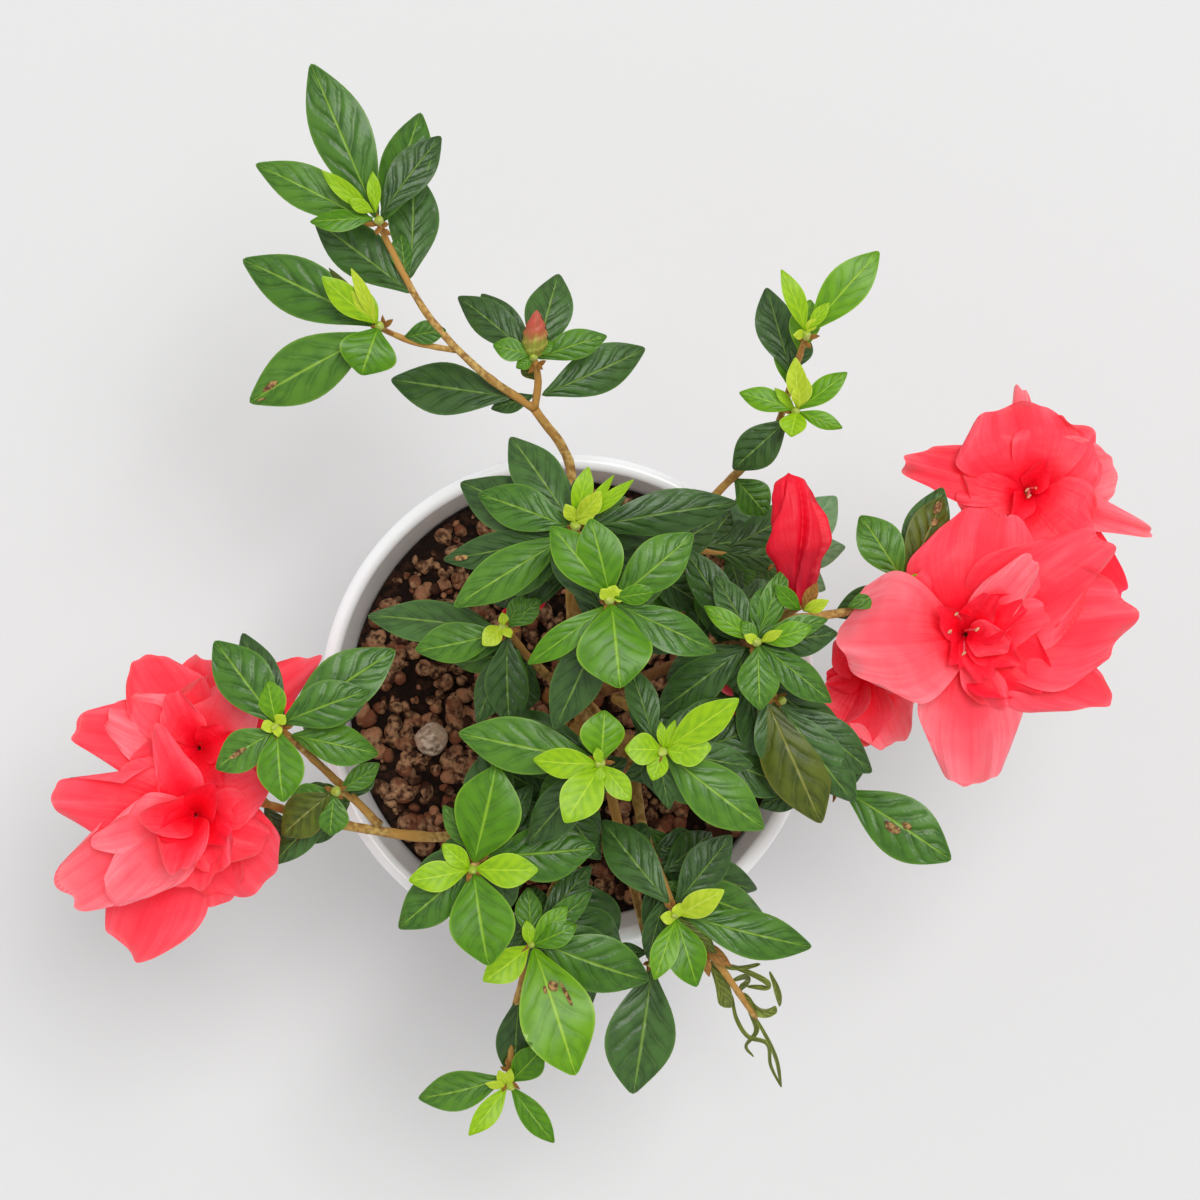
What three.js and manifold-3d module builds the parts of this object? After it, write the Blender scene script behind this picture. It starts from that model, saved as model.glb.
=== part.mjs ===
// A young azalea in its pot: tapering limbs that end under low, lobed bodies of foliage and bloom.
// Millimetres, +Z up. The origin is the centre of the pot's flat underside; +X is east, +Y is north.
import * as THREE from 'three';
import { mergeVertices } from 'three/addons/utils/BufferGeometryUtils.js';
import Module from 'manifold-3d';

const wasm = await Module();
wasm.setup();

// Driving dimensions
const gap = 0.3; // left between touching pieces
const pot = { height: 130, rimRadius: 75, footRadius: 54, wall: 4.8, floor: 8, edge: 1.6, sides: 40 };
const drain = { count: 4, radius: 4, ring: 27, sides: 8 };
const soil = { top: 112, dip: 1.5, dipRadius: 40 };
const trunk = { x: 0, y: 3, radius: 4.6, flare: 9, flareHeight: 11, height: 34, lean: [2.5, -1.5], sides: 12 };
const limbSides = 6;
const limbStep = 13; // length of limb between two rings of its surface
const lobeSteps = 24; // directions in which an outline is worked out, the first leaf's among them
const leafSpread = 0.62; // width of a leaf's lobe as a share of its reach
const petalSpread = 0.95;
const shoulder = 0.55; // where a body's upper ring lies, as a share of its outline

const colours = {
  pot: [0xf7f7fa, 0.35],
  soil: [0x2a170d, 0.95],
  bark: [0xa8752f, 0.7],
  dark: [0x345c2c, 0.45],
  mature: [0x467a2c, 0.45],
  young: [0x86b82a, 0.5],
  petal: [0xf0404f, 0.55],
  bud: [0xc8142a, 0.5],
};

// Limbs in the order in which they leave each other: route, foot radius, tip radius.
const trunkTop = [trunk.x + trunk.lean[0], trunk.y + trunk.lean[1], soil.top + trunk.height];
const limbs = {
  bough_north: { route: [trunkTop, [1, 40, 158], [1, 69, 168], [-9, 85, 180]], radii: [2.6, 1.8] },
  bough_northwest: { route: [[-11, 87, 181], [-25, 96, 188], [-39, 111, 194], [-49, 129, 198]], radii: [1.6, 1.1] },
  bough_northwest_side: { route: [[-32, 101, 190], [-42, 103, 190.5], [-51, 106, 191.5]], radii: [1, 0.9] },
  bough_north_bud: { route: [[-9, 87, 182], [-8, 93, 183], [-9, 98, 183.5]], radii: [1.3, 1.1] },
  bough_northeast: {
    route: [trunkTop, [22, 36, 160], [43, 61, 176], [57, 75, 186], [61, 84, 192], [66, 100, 207]], radii: [2.3, 1.1],
  },
  bough_northeast_side: { route: [[60, 80, 189], [62, 81, 194], [64.5, 83, 198]], radii: [1, 0.9] },
  bough_north_centre: { route: [trunkTop, [3, 30, 180], [3, 51, 218]], radii: [2.1, 1.4] },
  bough_centre: { route: [trunkTop, [6, 12, 190], [12.5, 30.5, 233.5]], radii: [2.2, 1.5] },
  bough_west_centre: { route: [trunkTop, [-9, 12, 170], [-17, 23, 193.5]], radii: [2, 1.3] },
  bough_south_centre: { route: [trunkTop, [10, -11, 180], [10, -14, 215.5]], radii: [2, 1.3] },
  bough_southeast_centre: { route: [[9.5, -8, 172], [20, -9, 195], [27, -10, 221.5]], radii: [1.5, 1.3] },
  bough_east: { route: [trunkTop, [24, 9, 170], [42, 17, 190], [53, 19, 208]], radii: [2.5, 1.5] },
  bough_east_bloom: {
    route: [[36, 15, 183], [58, 24, 190], [80, 27.5, 190], [95, 34, 188], [109, 23, 189]], radii: [1.7, 1.3],
  },
  bough_east_upper: { route: [[95, 34, 188], [112, 46, 184], [131, 61, 178]], radii: [1.3, 1.1] },
  bough_bud: { route: [[57, 24, 190], [60, 26, 200], [65, 28, 208]], radii: [1.1, 1.1] },
  bough_west: {
    route: [[-2, -2, 132], [-20, -34, 142], [-38, -39, 150], [-69, -34, 161], [-93, -27, 166], [-104, -28, 166]],
    radii: [2.4, 1.5],
  },
  bough_west_rosette: { route: [[-55, -35, 157], [-64, -24, 169], [-73, -14, 179], [-81, -4.5, 188]], radii: [1.5, 1.2] },
  bough_west_upper: { route: [[-86, -29, 165], [-99, -17, 163], [-113, -5, 159]], radii: [1.2, 1] },
  bough_southwest: { route: [trunkTop, [-12, -24, 168], [-26, -44, 198.5]], radii: [2.1, 1.3] },
  bough_south: { route: [[4, -2, 136], [2, -36, 152], [-10, -67, 178.5]], radii: [2.2, 1.4] },
  bough_low_south: { route: [[-3, -52, 163], [-14, -84, 160], [-17, -110, 153.5]], radii: [1.4, 1.1] },
  bough_southeast: { route: [[5, 1, 141], [18, -16, 156], [22, -35, 170], [31, -58.5, 183.5]], radii: [2.4, 1.6] },
  bough_low_southeast: { route: [[8, -6, 146], [16, -40, 141], [25, -74, 158]], radii: [1.7, 1.2] },
  bough_southeast_outer: { route: [[16, -13, 154], [44, -16, 168], [78, -22.5, 183.5]], radii: [1.6, 1.1] },
  shoot_shrivelled: {
    route: [[31, -60, 181], [40, -69, 180], [46, -77, 177], [54, -89, 170], [58, -99, 161], [63, -114, 149]],
    radii: [1.1, 0.8],
  },
};

// Bodies of foliage and bloom: heart, [bearing, reach] of the main leaves or petals, and heights above the heart
// of the crown, the tips and the keel. Bearings are in degrees from east, turning north.
const leafHeights = { crown: 4, tip: 1, keel: -6 };
const bloomHeights = { crown: -9, tip: 4, keel: -25 };
const bodies = {
  foliage_centre: {
    heart: [12.5, 30.5, 240], tone: 'mature',
    leaves: [[125, 23], [105, 20], [40, 28], [335, 31], [275, 23], [245, 32], [210, 28]],
  },
  foliage_southeast_centre: {
    heart: [27, -10, 228], tone: 'young', leaves: [[175, 11], [105, 12], [35, 25], [0, 26], [320, 36], [250, 10]],
  },
  foliage_north_centre: {
    heart: [3, 51, 225], tone: 'dark',
    leaves: [[155, 32], [125, 32], [195, 38], [210, 40], [75, 17], [40, 20], [5, 48]],
  },
  foliage_south_centre: {
    heart: [10, -14, 222], tone: 'young', leaves: [[90, 15], [170, 38], [200, 18], [240, 19], [310, 14]],
  },
  flower_bud_east: {
    heart: [65, 29, 215], tone: 'bud', spread: 0.62, heights: { crown: 5, tip: 4, keel: -6 },
    leaves: [[98, 36], [110, 24], [85, 24], [278, 5]],
  },
  foliage_east_centre: {
    heart: [53, 19, 215], tone: 'mature',
    leaves: [[125, 25], [150, 18], [75, 20], [10, 24], [345, 22], [320, 33], [295, 40], [270, 19], [215, 34]],
  },
  foliage_east_hanging: {
    heart: [60, 2, 201], tone: 'dark', heights: { crown: 3, tip: -8, keel: -8 },
    leaves: [[325, 32], [300, 38], [285, 42], [245, 20]],
  },
  bloom_east_lower: {
    heart: [109.5, 21, 215], tone: 'petal', spread: petalSpread, heights: bloomHeights,
    leaves: [[184, 33], [77, 35], [40, 42], [10, 46], [345, 44], [270, 43], [315, 25]],
  },
  bloom_east_upper: {
    heart: [131, 60, 200], tone: 'petal', spread: petalSpread, heights: { crown: -6, tip: 3, keel: -21 },
    leaves: [[160, 37], [105, 26], [50, 20], [345, 33], [300, 24], [230, 18]],
  },
  bloom_east_third: {
    heart: [86, -4, 188], tone: 'petal', spread: petalSpread, heights: { crown: 2, tip: 0, keel: -8 },
    leaves: [[200, 13], [290, 12], [20, 12], [110, 10]],
  },
  bloom_west_lower: {
    heart: [-104.5, -28, 190], tone: 'petal', spread: petalSpread, heights: { crown: 2, tip: 0, keel: -23 },
    leaves: [[205, 45], [170, 41], [250, 43], [285, 30], [322, 28], [40, 22], [110, 20]],
  },
  bloom_west_upper: {
    heart: [-113, -5, 180], tone: 'petal', spread: petalSpread, heights: { crown: 2, tip: 0, keel: -20 },
    leaves: [[120, 22], [75, 22], [185, 28], [25, 44], [270, 14]],
  },
  foliage_northeast_tip: {
    heart: [66, 103, 215], tone: 'young', leaves: [[50, 31], [110, 19], [150, 19], [230, 8]],
  },
  foliage_northeast_side: {
    heart: [64, 83, 205], tone: 'young', leaves: [[160, 17], [35, 18], [340, 14], [225, 25], [95, 14]],
  },
  foliage_northwest_tip: {
    heart: [-52, 136, 205], tone: 'dark', leaves: [[113, 50], [152, 40], [69, 35], [35, 20], [190, 20], [320, 12]],
  },
  foliage_northwest_side: {
    heart: [-52, 107, 198], tone: 'dark', leaves: [[152, 45], [207, 45], [120, 22], [260, 14], [330, 33], [60, 14]],
  },
  foliage_north: {
    heart: [-9, 99, 190], tone: 'dark', leaves: [[135, 29], [76, 27], [20, 23], [358, 31], [235, 20], [180, 11]],
  },
  foliage_southwest: {
    heart: [-26, -44, 205], tone: 'young', leaves: [[75, 30], [190, 18], [219, 26], [278, 27], [0, 28], [135, 16]],
  },
  foliage_west_centre: {
    heart: [-17, 23, 200], tone: 'dark', leaves: [[171, 41], [196, 27], [50, 13], [268, 28]],
  },
  foliage_east: {
    heart: [95, 35.5, 195], tone: 'dark', leaves: [[123, 23], [70, 31], [204, 21], [20, 10]],
  },
  foliage_southeast_outer: {
    heart: [78, -22.5, 190], tone: 'dark', leaves: [[330, 39], [290, 9], [150, 9]],
  },
  foliage_west: {
    heart: [-81, -4.5, 195], tone: 'mature', leaves: [[125, 33], [100, 14], [35, 39], [350, 29], [209, 22], [274, 22]],
  },
  foliage_west_low: {
    heart: [-66, -24, 180], tone: 'dark', heights: { crown: 3, tip: -2, keel: -4 },
    leaves: [[215, 16], [245, 11], [110, 12], [50, 27]],
  },
  foliage_southeast: {
    heart: [31, -58.5, 190], tone: 'mature', leaves: [[130, 32], [51, 27], [345, 41], [285, 22], [250, 19]],
  },
  foliage_south: {
    heart: [-10, -67, 185], tone: 'mature', leaves: [[45, 24], [95, 16], [220, 17], [291, 39], [337, 36]],
  },
  foliage_low_southeast: {
    heart: [25.5, -75, 165], tone: 'dark', leaves: [[264, 39], [190, 8], [60, 9]],
  },
  foliage_low_south: {
    heart: [-17, -110, 160], tone: 'mature', leaves: [[188, 28], [60, 16], [92, 29], [234, 19], [309, 22]],
  },
  foliage_inner_north: {
    heart: [24, 44, 190], tone: 'dark', leaves: [[30, 28], [90, 18], [330, 24], [200, 16]],
  },
  foliage_inner_east: {
    heart: [40, -14, 196], tone: 'dark', leaves: [[20, 24], [340, 30], [290, 24], [200, 22], [100, 16]],
  },
  foliage_inner_south: {
    heart: [-4, -30, 185], tone: 'dark', leaves: [[30, 24], [90, 20], [150, 28], [210, 24], [310, 22]],
  },
  foliage_low_northeast: {
    heart: [63, 42, 158], tone: 'dark', leaves: [[60, 26], [120, 24], [160, 18], [330, 16], [240, 14]],
  },
};

// Materials
function finish(tone) {
  const [color, roughness] = colours[tone];
  return new THREE.MeshStandardMaterial({ color, roughness, metalness: 0 });
}

// A solid for cutting, from a closed three.js geometry.
function toSolid(geometry) {
  const bare = geometry.clone();
  bare.deleteAttribute('normal');
  bare.deleteAttribute('uv');
  const merged = mergeVertices(bare, 1e-3);
  const corners = Array.from(merged.index.array);
  const faces = [];
  for (let i = 0; i < corners.length; i += 3) {
    const [a, b, c] = corners.slice(i, i + 3);
    if (a !== b && b !== c && c !== a) faces.push(a, b, c);
  }
  const vertProperties = new Float32Array(merged.attributes.position.array);
  return new wasm.Manifold(new wasm.Mesh({ numProp: 3, vertProperties, triVerts: new Uint32Array(faces) }));
}

function toGeometry(solid) {
  const mesh = solid.getMesh();
  const geometry = new THREE.BufferGeometry();
  geometry.setAttribute('position', new THREE.BufferAttribute(new Float32Array(mesh.vertProperties), 3));
  geometry.setIndex(new THREE.BufferAttribute(new Uint32Array(mesh.triVerts), 1));
  geometry.computeVertexNormals();
  return geometry;
}

// Lathe about +Z from [radius, height] pairs that start and end on the axis.
function turned(profile, sides) {
  const points = profile.map(([radius, height]) => new THREE.Vector2(radius, height));
  return new THREE.LatheGeometry(points, sides).rotateX(Math.PI / 2);
}

function moveEach(geometry, move) {
  const place = geometry.attributes.position;
  const point = new THREE.Vector3();
  for (let i = 0; i < place.count; i += 1) {
    point.fromBufferAttribute(place, i);
    move(point);
    place.setXYZ(i, point.x, point.y, point.z);
  }
  return geometry;
}

// The pot is a thin tapering shell, so its inside follows its outside at one wall's distance.
function outerRadius(height) {
  return pot.footRadius + ((pot.rimRadius - pot.footRadius) * height) / pot.height;
}

function innerRadius(height) {
  return outerRadius(height) - pot.wall;
}

function makePot() {
  const { height, edge, floor } = pot;
  const soften = edge * 0.3;
  const shell = turned([
    [0, 0],
    [outerRadius(0) - edge, 0],
    [outerRadius(edge), edge],
    [outerRadius(height - edge), height - edge],
    [outerRadius(height) - soften, height - soften],
    [outerRadius(height) - edge, height],
    [innerRadius(height) + edge, height],
    [innerRadius(height) + soften, height - soften],
    [innerRadius(height - edge), height - edge],
    [innerRadius(floor + 2 * edge), floor + 2 * edge],
    [innerRadius(floor) - 2 * edge, floor],
    [0, floor],
  ], pot.sides);
  let solid = toSolid(shell);
  for (let i = 0; i < drain.count; i += 1) {
    const angle = ((i + 0.5) / drain.count) * 2 * Math.PI;
    const hole = new THREE.CylinderGeometry(drain.radius, drain.radius, floor * 3, drain.sides).rotateX(Math.PI / 2);
    hole.translate(drain.ring * Math.cos(angle), drain.ring * Math.sin(angle), floor / 2);
    solid = solid.subtract(toSolid(hole));
  }
  return toGeometry(solid);
}

// Potting mix fills the pot to a little below the rim and dips towards the wall.
function makeSoil() {
  const bottom = pot.floor + gap;
  const bevel = bottom + 2 * pot.edge;
  const brim = soil.top - soil.dip;
  return turned([
    [0, bottom],
    [innerRadius(bottom) - 2 * pot.edge - 2 * gap, bottom],
    [innerRadius(bevel) - 2 * gap, bevel],
    [innerRadius(brim) - gap, brim],
    [soil.dipRadius, soil.top],
    [0, soil.top],
  ], pot.sides);
}

// The short trunk flares into its roots at the soil, and leans as it tapers to the fork.
function makeTrunk(grow) {
  const { radius, flare, flareHeight, height, lean } = trunk;
  const foot = soil.top + gap;
  const body = turned([
    [0, -grow],
    [flare + grow, -grow],
    [(flare + radius) * 0.5 + grow, flareHeight * 0.4],
    [radius + 0.6 + grow, flareHeight],
    [radius + grow, height * 0.7],
    [radius * 0.75 + grow, height - 2],
    [radius * 0.4 + grow, height + grow],
    [0, height + grow],
  ], trunk.sides);
  return moveEach(body, (point) => {
    const share = point.z / height;
    point.x += trunk.x + lean[0] * share;
    point.y += trunk.y + lean[1] * share;
    point.z += foot;
  });
}

// A tapering limb: a turned rod of unit length bent along its route.
function makeLimb({ route, radii }, grow) {
  const curve = new THREE.CatmullRomCurve3(route.map((place) => new THREE.Vector3(...place)));
  const length = curve.getLength();
  const rings = Math.max(2, Math.round(length / limbStep));
  const profile = [[0, 0]];
  for (let i = 0; i <= rings; i += 1) {
    const share = i / rings;
    profile.push([radii[0] + (radii[1] - radii[0]) * share + grow, share]);
  }
  profile.push([0, 1]);
  const across = curve.getPoint(1).sub(curve.getPoint(0)).cross(new THREE.Vector3(0, 0, 1)).normalize();
  return moveEach(turned(profile, limbSides), (point) => {
    const share = THREE.MathUtils.clamp(point.z, 0, 1);
    const along = curve.getTangentAt(share);
    const up = across.clone().cross(along).normalize();
    const side = along.clone().cross(up).normalize();
    const centre = curve.getPointAt(share);
    if (share === 0) centre.addScaledVector(along, -grow);
    if (share === 1) centre.addScaledVector(along, grow);
    const { x, y } = point;
    point.copy(centre).addScaledVector(side, -x).addScaledVector(up, y);
  });
}

// The reach of a body in one direction: each leaf is an ellipse with one end on the heart.
function outline(leaves, spread, angle) {
  let widest = 0;
  for (const [bearing, reach] of leaves) {
    const turn = angle - THREE.MathUtils.degToRad(bearing);
    const forward = Math.cos(turn);
    const sideways = Math.sin(turn) / spread;
    if (forward > 0) widest = Math.max(widest, (reach * forward) / (forward ** 2 + sideways ** 2));
  }
  return widest;
}

// A low body of leaves or petals round one heart, lobed where its leaves reach out.
function makeBody({ heart, leaves, spread = leafSpread, heights = leafHeights }, grow) {
  const core = Math.min(...leaves.map(([, reach]) => reach)) * 0.55 + 3;
  const rimUnder = heights.tip - 1.4;
  const crownRing = heights.crown + (heights.tip - heights.crown) * shoulder;
  const body = turned([
    [0, heights.keel - grow],
    [1, rimUnder - grow],
    [1, heights.tip + grow],
    [shoulder, crownRing + 1 + grow],
    [0, heights.crown + grow],
  ], lobeSteps).rotateZ(THREE.MathUtils.degToRad(leaves[0][0]));
  return moveEach(body, (point) => {
    const share = Math.hypot(point.x, point.y);
    const angle = Math.atan2(point.y, point.x);
    const reach = Math.max(outline(leaves, spread, angle), core) + grow;
    const { z } = point;
    point.set(Math.cos(angle), Math.sin(angle), 0).multiplyScalar(share * reach);
    point.add(new THREE.Vector3(heart[0], heart[1], heart[2] + z));
  });
}

const group = new THREE.Group();

function addMesh(name, geometry, tone) {
  const mesh = new THREE.Mesh(geometry, finish(tone));
  mesh.name = name;
  group.add(mesh);
}

// Each living piece is cut clear of those placed before it, and keeps the largest piece that the cuts leave.
const placed = [];

function grow(name, make, tone) {
  let solid = toSolid(make(0));
  const box = solid.boundingBox();
  for (const other of placed) {
    const apart = [0, 1, 2].some((axis) => box.min[axis] > other.box.max[axis] || box.max[axis] < other.box.min[axis]);
    if (!apart) solid = solid.subtract(other.clearance);
  }
  const [largest] = solid.decompose().sort((a, b) => b.volume() - a.volume());
  const clearance = toSolid(make(gap));
  placed.push({ clearance, box: clearance.boundingBox() });
  addMesh(name, toGeometry(largest), tone);
}

addMesh('pot', makePot(), 'pot');
addMesh('soil', makeSoil(), 'soil');
grow('trunk', makeTrunk, 'bark');
for (const [name, limb] of Object.entries(limbs)) {
  grow(name, (extra) => makeLimb(limb, extra), 'bark');
}
for (const [name, body] of Object.entries(bodies)) {
  grow(name, (extra) => makeBody(body, extra), body.tone);
}

export default group;
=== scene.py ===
import math
import random
import bmesh
import bpy
from mathutils import Matrix, Vector, noise


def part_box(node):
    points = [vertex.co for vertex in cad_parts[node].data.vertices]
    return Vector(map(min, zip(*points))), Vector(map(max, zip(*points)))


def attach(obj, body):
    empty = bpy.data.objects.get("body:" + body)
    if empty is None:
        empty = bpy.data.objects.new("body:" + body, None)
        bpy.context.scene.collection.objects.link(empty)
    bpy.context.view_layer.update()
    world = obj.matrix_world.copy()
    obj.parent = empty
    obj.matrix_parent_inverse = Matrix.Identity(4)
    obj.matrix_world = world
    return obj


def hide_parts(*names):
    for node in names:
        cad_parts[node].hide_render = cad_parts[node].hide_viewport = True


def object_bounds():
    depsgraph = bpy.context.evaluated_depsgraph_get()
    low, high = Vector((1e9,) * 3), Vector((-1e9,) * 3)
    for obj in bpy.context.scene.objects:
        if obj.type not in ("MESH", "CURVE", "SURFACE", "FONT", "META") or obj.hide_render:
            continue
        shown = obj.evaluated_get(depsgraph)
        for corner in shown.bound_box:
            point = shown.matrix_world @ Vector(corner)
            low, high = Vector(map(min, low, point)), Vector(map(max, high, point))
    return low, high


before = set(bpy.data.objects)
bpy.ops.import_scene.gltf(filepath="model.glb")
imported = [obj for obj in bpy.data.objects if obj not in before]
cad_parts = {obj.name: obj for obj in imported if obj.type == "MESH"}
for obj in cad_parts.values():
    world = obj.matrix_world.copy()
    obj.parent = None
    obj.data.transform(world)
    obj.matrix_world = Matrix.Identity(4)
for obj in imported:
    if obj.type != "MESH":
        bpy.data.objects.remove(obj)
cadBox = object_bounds()
mm = 0.001
golden = math.radians(137.5)
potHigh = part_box("pot")[1]
soilLow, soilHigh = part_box("soil")
limbs = sorted(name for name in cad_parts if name.startswith(("bough_", "shoot_")))


# tools that every piece uses

def clamp(value, low=0.0, high=1.0):
    return max(low, min(high, value))


def mixed(a, b, share):
    return a + (b - a) * share


def bearingWay(degrees):
    angle = math.radians(degrees)
    return Vector((math.cos(angle), math.sin(angle), 0))


def bladeSide(u):
    # round a thin blade: how far across, -1 to 1, and 1 on its upper face or -1 on its lower one
    upper = u < 0.5
    return clamp(4 * u - 1 if upper else 3 - 4 * u, -1, 1), 1 if upper else -1


def leaned(across, up, angle):
    # the two directions turned about the blade's length
    return (across * math.cos(angle) + up * math.sin(angle),
            up * math.cos(angle) - across * math.sin(angle))


def newPiece(mapped=False):
    bm = bmesh.new()
    if mapped:
        bm.loops.layers.uv.new("OFBake")
    bm.edges.layers.float.new("crease_edge")
    return bm


def addSheet(bm, columns, rows, place, rims=(), front=False):
    # a grid whose points are moved to place(u, v): u runs round the piece, v runs along it, and the margins
    # of a thin blade, at the rims and at its front, stay keen
    layer = bm.loops.layers.uv.active
    crease = bm.edges.layers.float["crease_edge"]
    verts = bmesh.ops.create_grid(bm, x_segments=columns, y_segments=rows, size=0.5)["verts"]
    for face in {face for vert in verts for face in vert.link_faces if layer}:
        for loop in face.loops:
            loop[layer].uv = (loop.vert.co.x + 0.5, loop.vert.co.y + 0.5)
    for edge in {edge for vert in verts for edge in vert.link_edges}:
        a, b = edge.verts[0].co, edge.verts[1].co
        onRim = abs(a.x - b.x) < 1e-4 and any(abs(a.x + 0.5 - rim) < 1e-3 for rim in rims)
        if onRim or (front and min(a.y, b.y) > 0.499):
            edge.smooth = False
            edge[crease] = 1.0
    for vert in verts:
        vert.co = place(vert.co.x + 0.5, vert.co.y + 0.5)
    bmesh.ops.remove_doubles(bm, verts=verts, dist=1e-6)


def finishPiece(name, bm, material, nodes, levels=0):
    bmesh.ops.recalc_face_normals(bm, faces=bm.faces)
    mesh = bpy.data.meshes.new(name)
    bm.to_mesh(mesh)
    bm.free()
    mesh.polygons.foreach_set("use_smooth", [True] * len(mesh.polygons))
    mesh.materials.append(material)
    piece = bpy.data.objects.new(name, mesh)
    bpy.context.scene.collection.objects.link(piece)
    if levels:
        rounding = piece.modifiers.new("rounding", "SUBSURF")
        rounding.levels = levels
        rounding.render_levels = levels
    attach(piece, "root")
    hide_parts(*nodes)
    return piece


def alongRoute(points, share):
    # a smooth curve through the points, share 0 at the first and 1 at the last
    last = len(points) - 1
    at = clamp(share) * last
    i = min(int(at), last - 1)
    t = at - i
    b, c = points[i], points[i + 1]
    a = points[i - 1] if i else b * 2 - c
    d = points[i + 2] if i + 2 <= last else c * 2 - b
    bend, twist = a * 2 - b * 5 + c * 4 - d, b * 3 - a - c * 3 + d
    return 0.5 * (b * 2 + (c - a) * t + bend * t ** 2 + twist * t ** 3)


def evenRoute(points, count):
    # the same curve cut into count equal lengths
    fine = [alongRoute(points, i / (count * 6)) for i in range(count * 6 + 1)]
    run = [0.0]
    for a, b in zip(fine, fine[1:]):
        run.append(run[-1] + (b - a).length)
    made, j = [], 0
    for i in range(count + 1):
        want = run[-1] * i / count
        while j < len(run) - 2 and run[j + 1] < want:
            j += 1
        part = (want - run[j]) / max(run[j + 1] - run[j], 1e-9)
        made.append(fine[j].lerp(fine[j + 1], clamp(part)))
    return made, run[-1]


# materials: one class wraps a socket, so that sums on it read as sums

class Value:
    def __init__(self, tree, socket):
        self.tree = tree
        self.socket = socket

    def node(self, kind, settings, sockets, out=0):
        made = self.tree.nodes.new(kind)
        for name, setting in settings.items():
            setattr(made, name, setting)
        for name, value in sockets.items():
            if isinstance(value, Value):
                self.tree.links.new(value.socket, made.inputs[name])
            else:
                made.inputs[name].default_value = value
        return Value(self.tree, made.outputs[out])

    def math(self, operation, *values):
        return self.node("ShaderNodeMath", {"operation": operation}, dict(enumerate(values)))

    def __add__(self, other):
        return self.math("ADD", self, other)

    def __sub__(self, other):
        return self.math("SUBTRACT", self, other)

    def __rsub__(self, other):
        return self.math("SUBTRACT", other, self)

    def __mul__(self, other):
        return self.math("MULTIPLY", self, other)

    def __pow__(self, other):
        return self.math("POWER", self, other)

    def __abs__(self):
        return self.math("ABSOLUTE", self)

    __radd__ = __add__
    __rmul__ = __mul__

    def fract(self):
        return self.math("FRACT", self)

    def above(self, limit):
        return self.math("GREATER_THAN", self, limit)

    def fall(self, start, end):
        # 1 where the value is at start, easing to 0 at end
        sockets = {"Value": self, "From Min": start, "From Max": end, "To Min": 1.0, "To Max": 0.0}
        return self.node("ShaderNodeMapRange", {"interpolation_type": "SMOOTHSTEP"}, sockets)

    def blend(self, a, b):
        # colour a where the value is 0, colour b where it is 1
        return self.node("ShaderNodeMix", {"data_type": "RGBA"}, {0: self, 6: a, 7: b}, out=2)

    def noise(self, scale, detail=2.0):
        return self.node("ShaderNodeTexNoise", {}, {"Vector": self, "Scale": scale, "Detail": detail})

    def cells(self, scale):
        return self.node("ShaderNodeTexVoronoi", {}, {"Vector": self, "Scale": scale})

    def stretched(self, x, y, z):
        return self.node("ShaderNodeVectorMath", {"operation": "MULTIPLY"}, {0: self, 1: (x, y, z)})

    def part(self, letter):
        return self.node("ShaderNodeSeparateXYZ", {}, {0: self}, out="XYZ".index(letter))


def linear(code):
    # an sRGB colour code as the linear colour that shaders read
    parts = [int(code[i:i + 2], 16) / 255 for i in (0, 2, 4)]
    return [*((c / 12.92 if c <= 0.04045 else ((c + 0.055) / 1.055) ** 2.4) for c in parts), 1]


def newFinish(name, **uniform):
    # a Principled material: what is the same all over is set on the shader's own sockets
    material = bpy.data.materials.new(name)
    material.use_nodes = True
    shader = material.node_tree.nodes["Principled BSDF"]
    for socket, value in uniform.items():
        shader.inputs[socket.replace("_", " ")].default_value = value
    start = Value(material.node_tree, None)
    return material, shader, start


def ownMap(start):
    return start.node("ShaderNodeUVMap", {"uv_map": "OFBake"}, {})


def objectPlace(start):
    return start.node("ShaderNodeTexCoord", {}, {}, out=3)


def feed(shader, socket, value):
    value.tree.links.new(value.socket, shader.inputs[socket])


def relief(shader, height, depth, strength=1.0):
    sockets = {"Height": height, "Distance": depth, "Strength": strength}
    feed(shader, "Normal", height.node("ShaderNodeBump", {}, sockets))


# camera, light and floor

studio = {
    "height": 1.0,  # camera above the pot's rim
    "aim": (9.6, 30.6),  # millimetres east and north of the pot's middle
    "lens": 100,
    "floor": "E1E1E1",
    "sky": 0.6,
    "floorHalf": 6,
    "key": {"from": (1.0, 1.2, 5.0), "size": 2.1, "power": 140},
    "fill": {"from": (-3.0, 1.0, 4.0), "size": 3.0, "power": 12},
}


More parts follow.
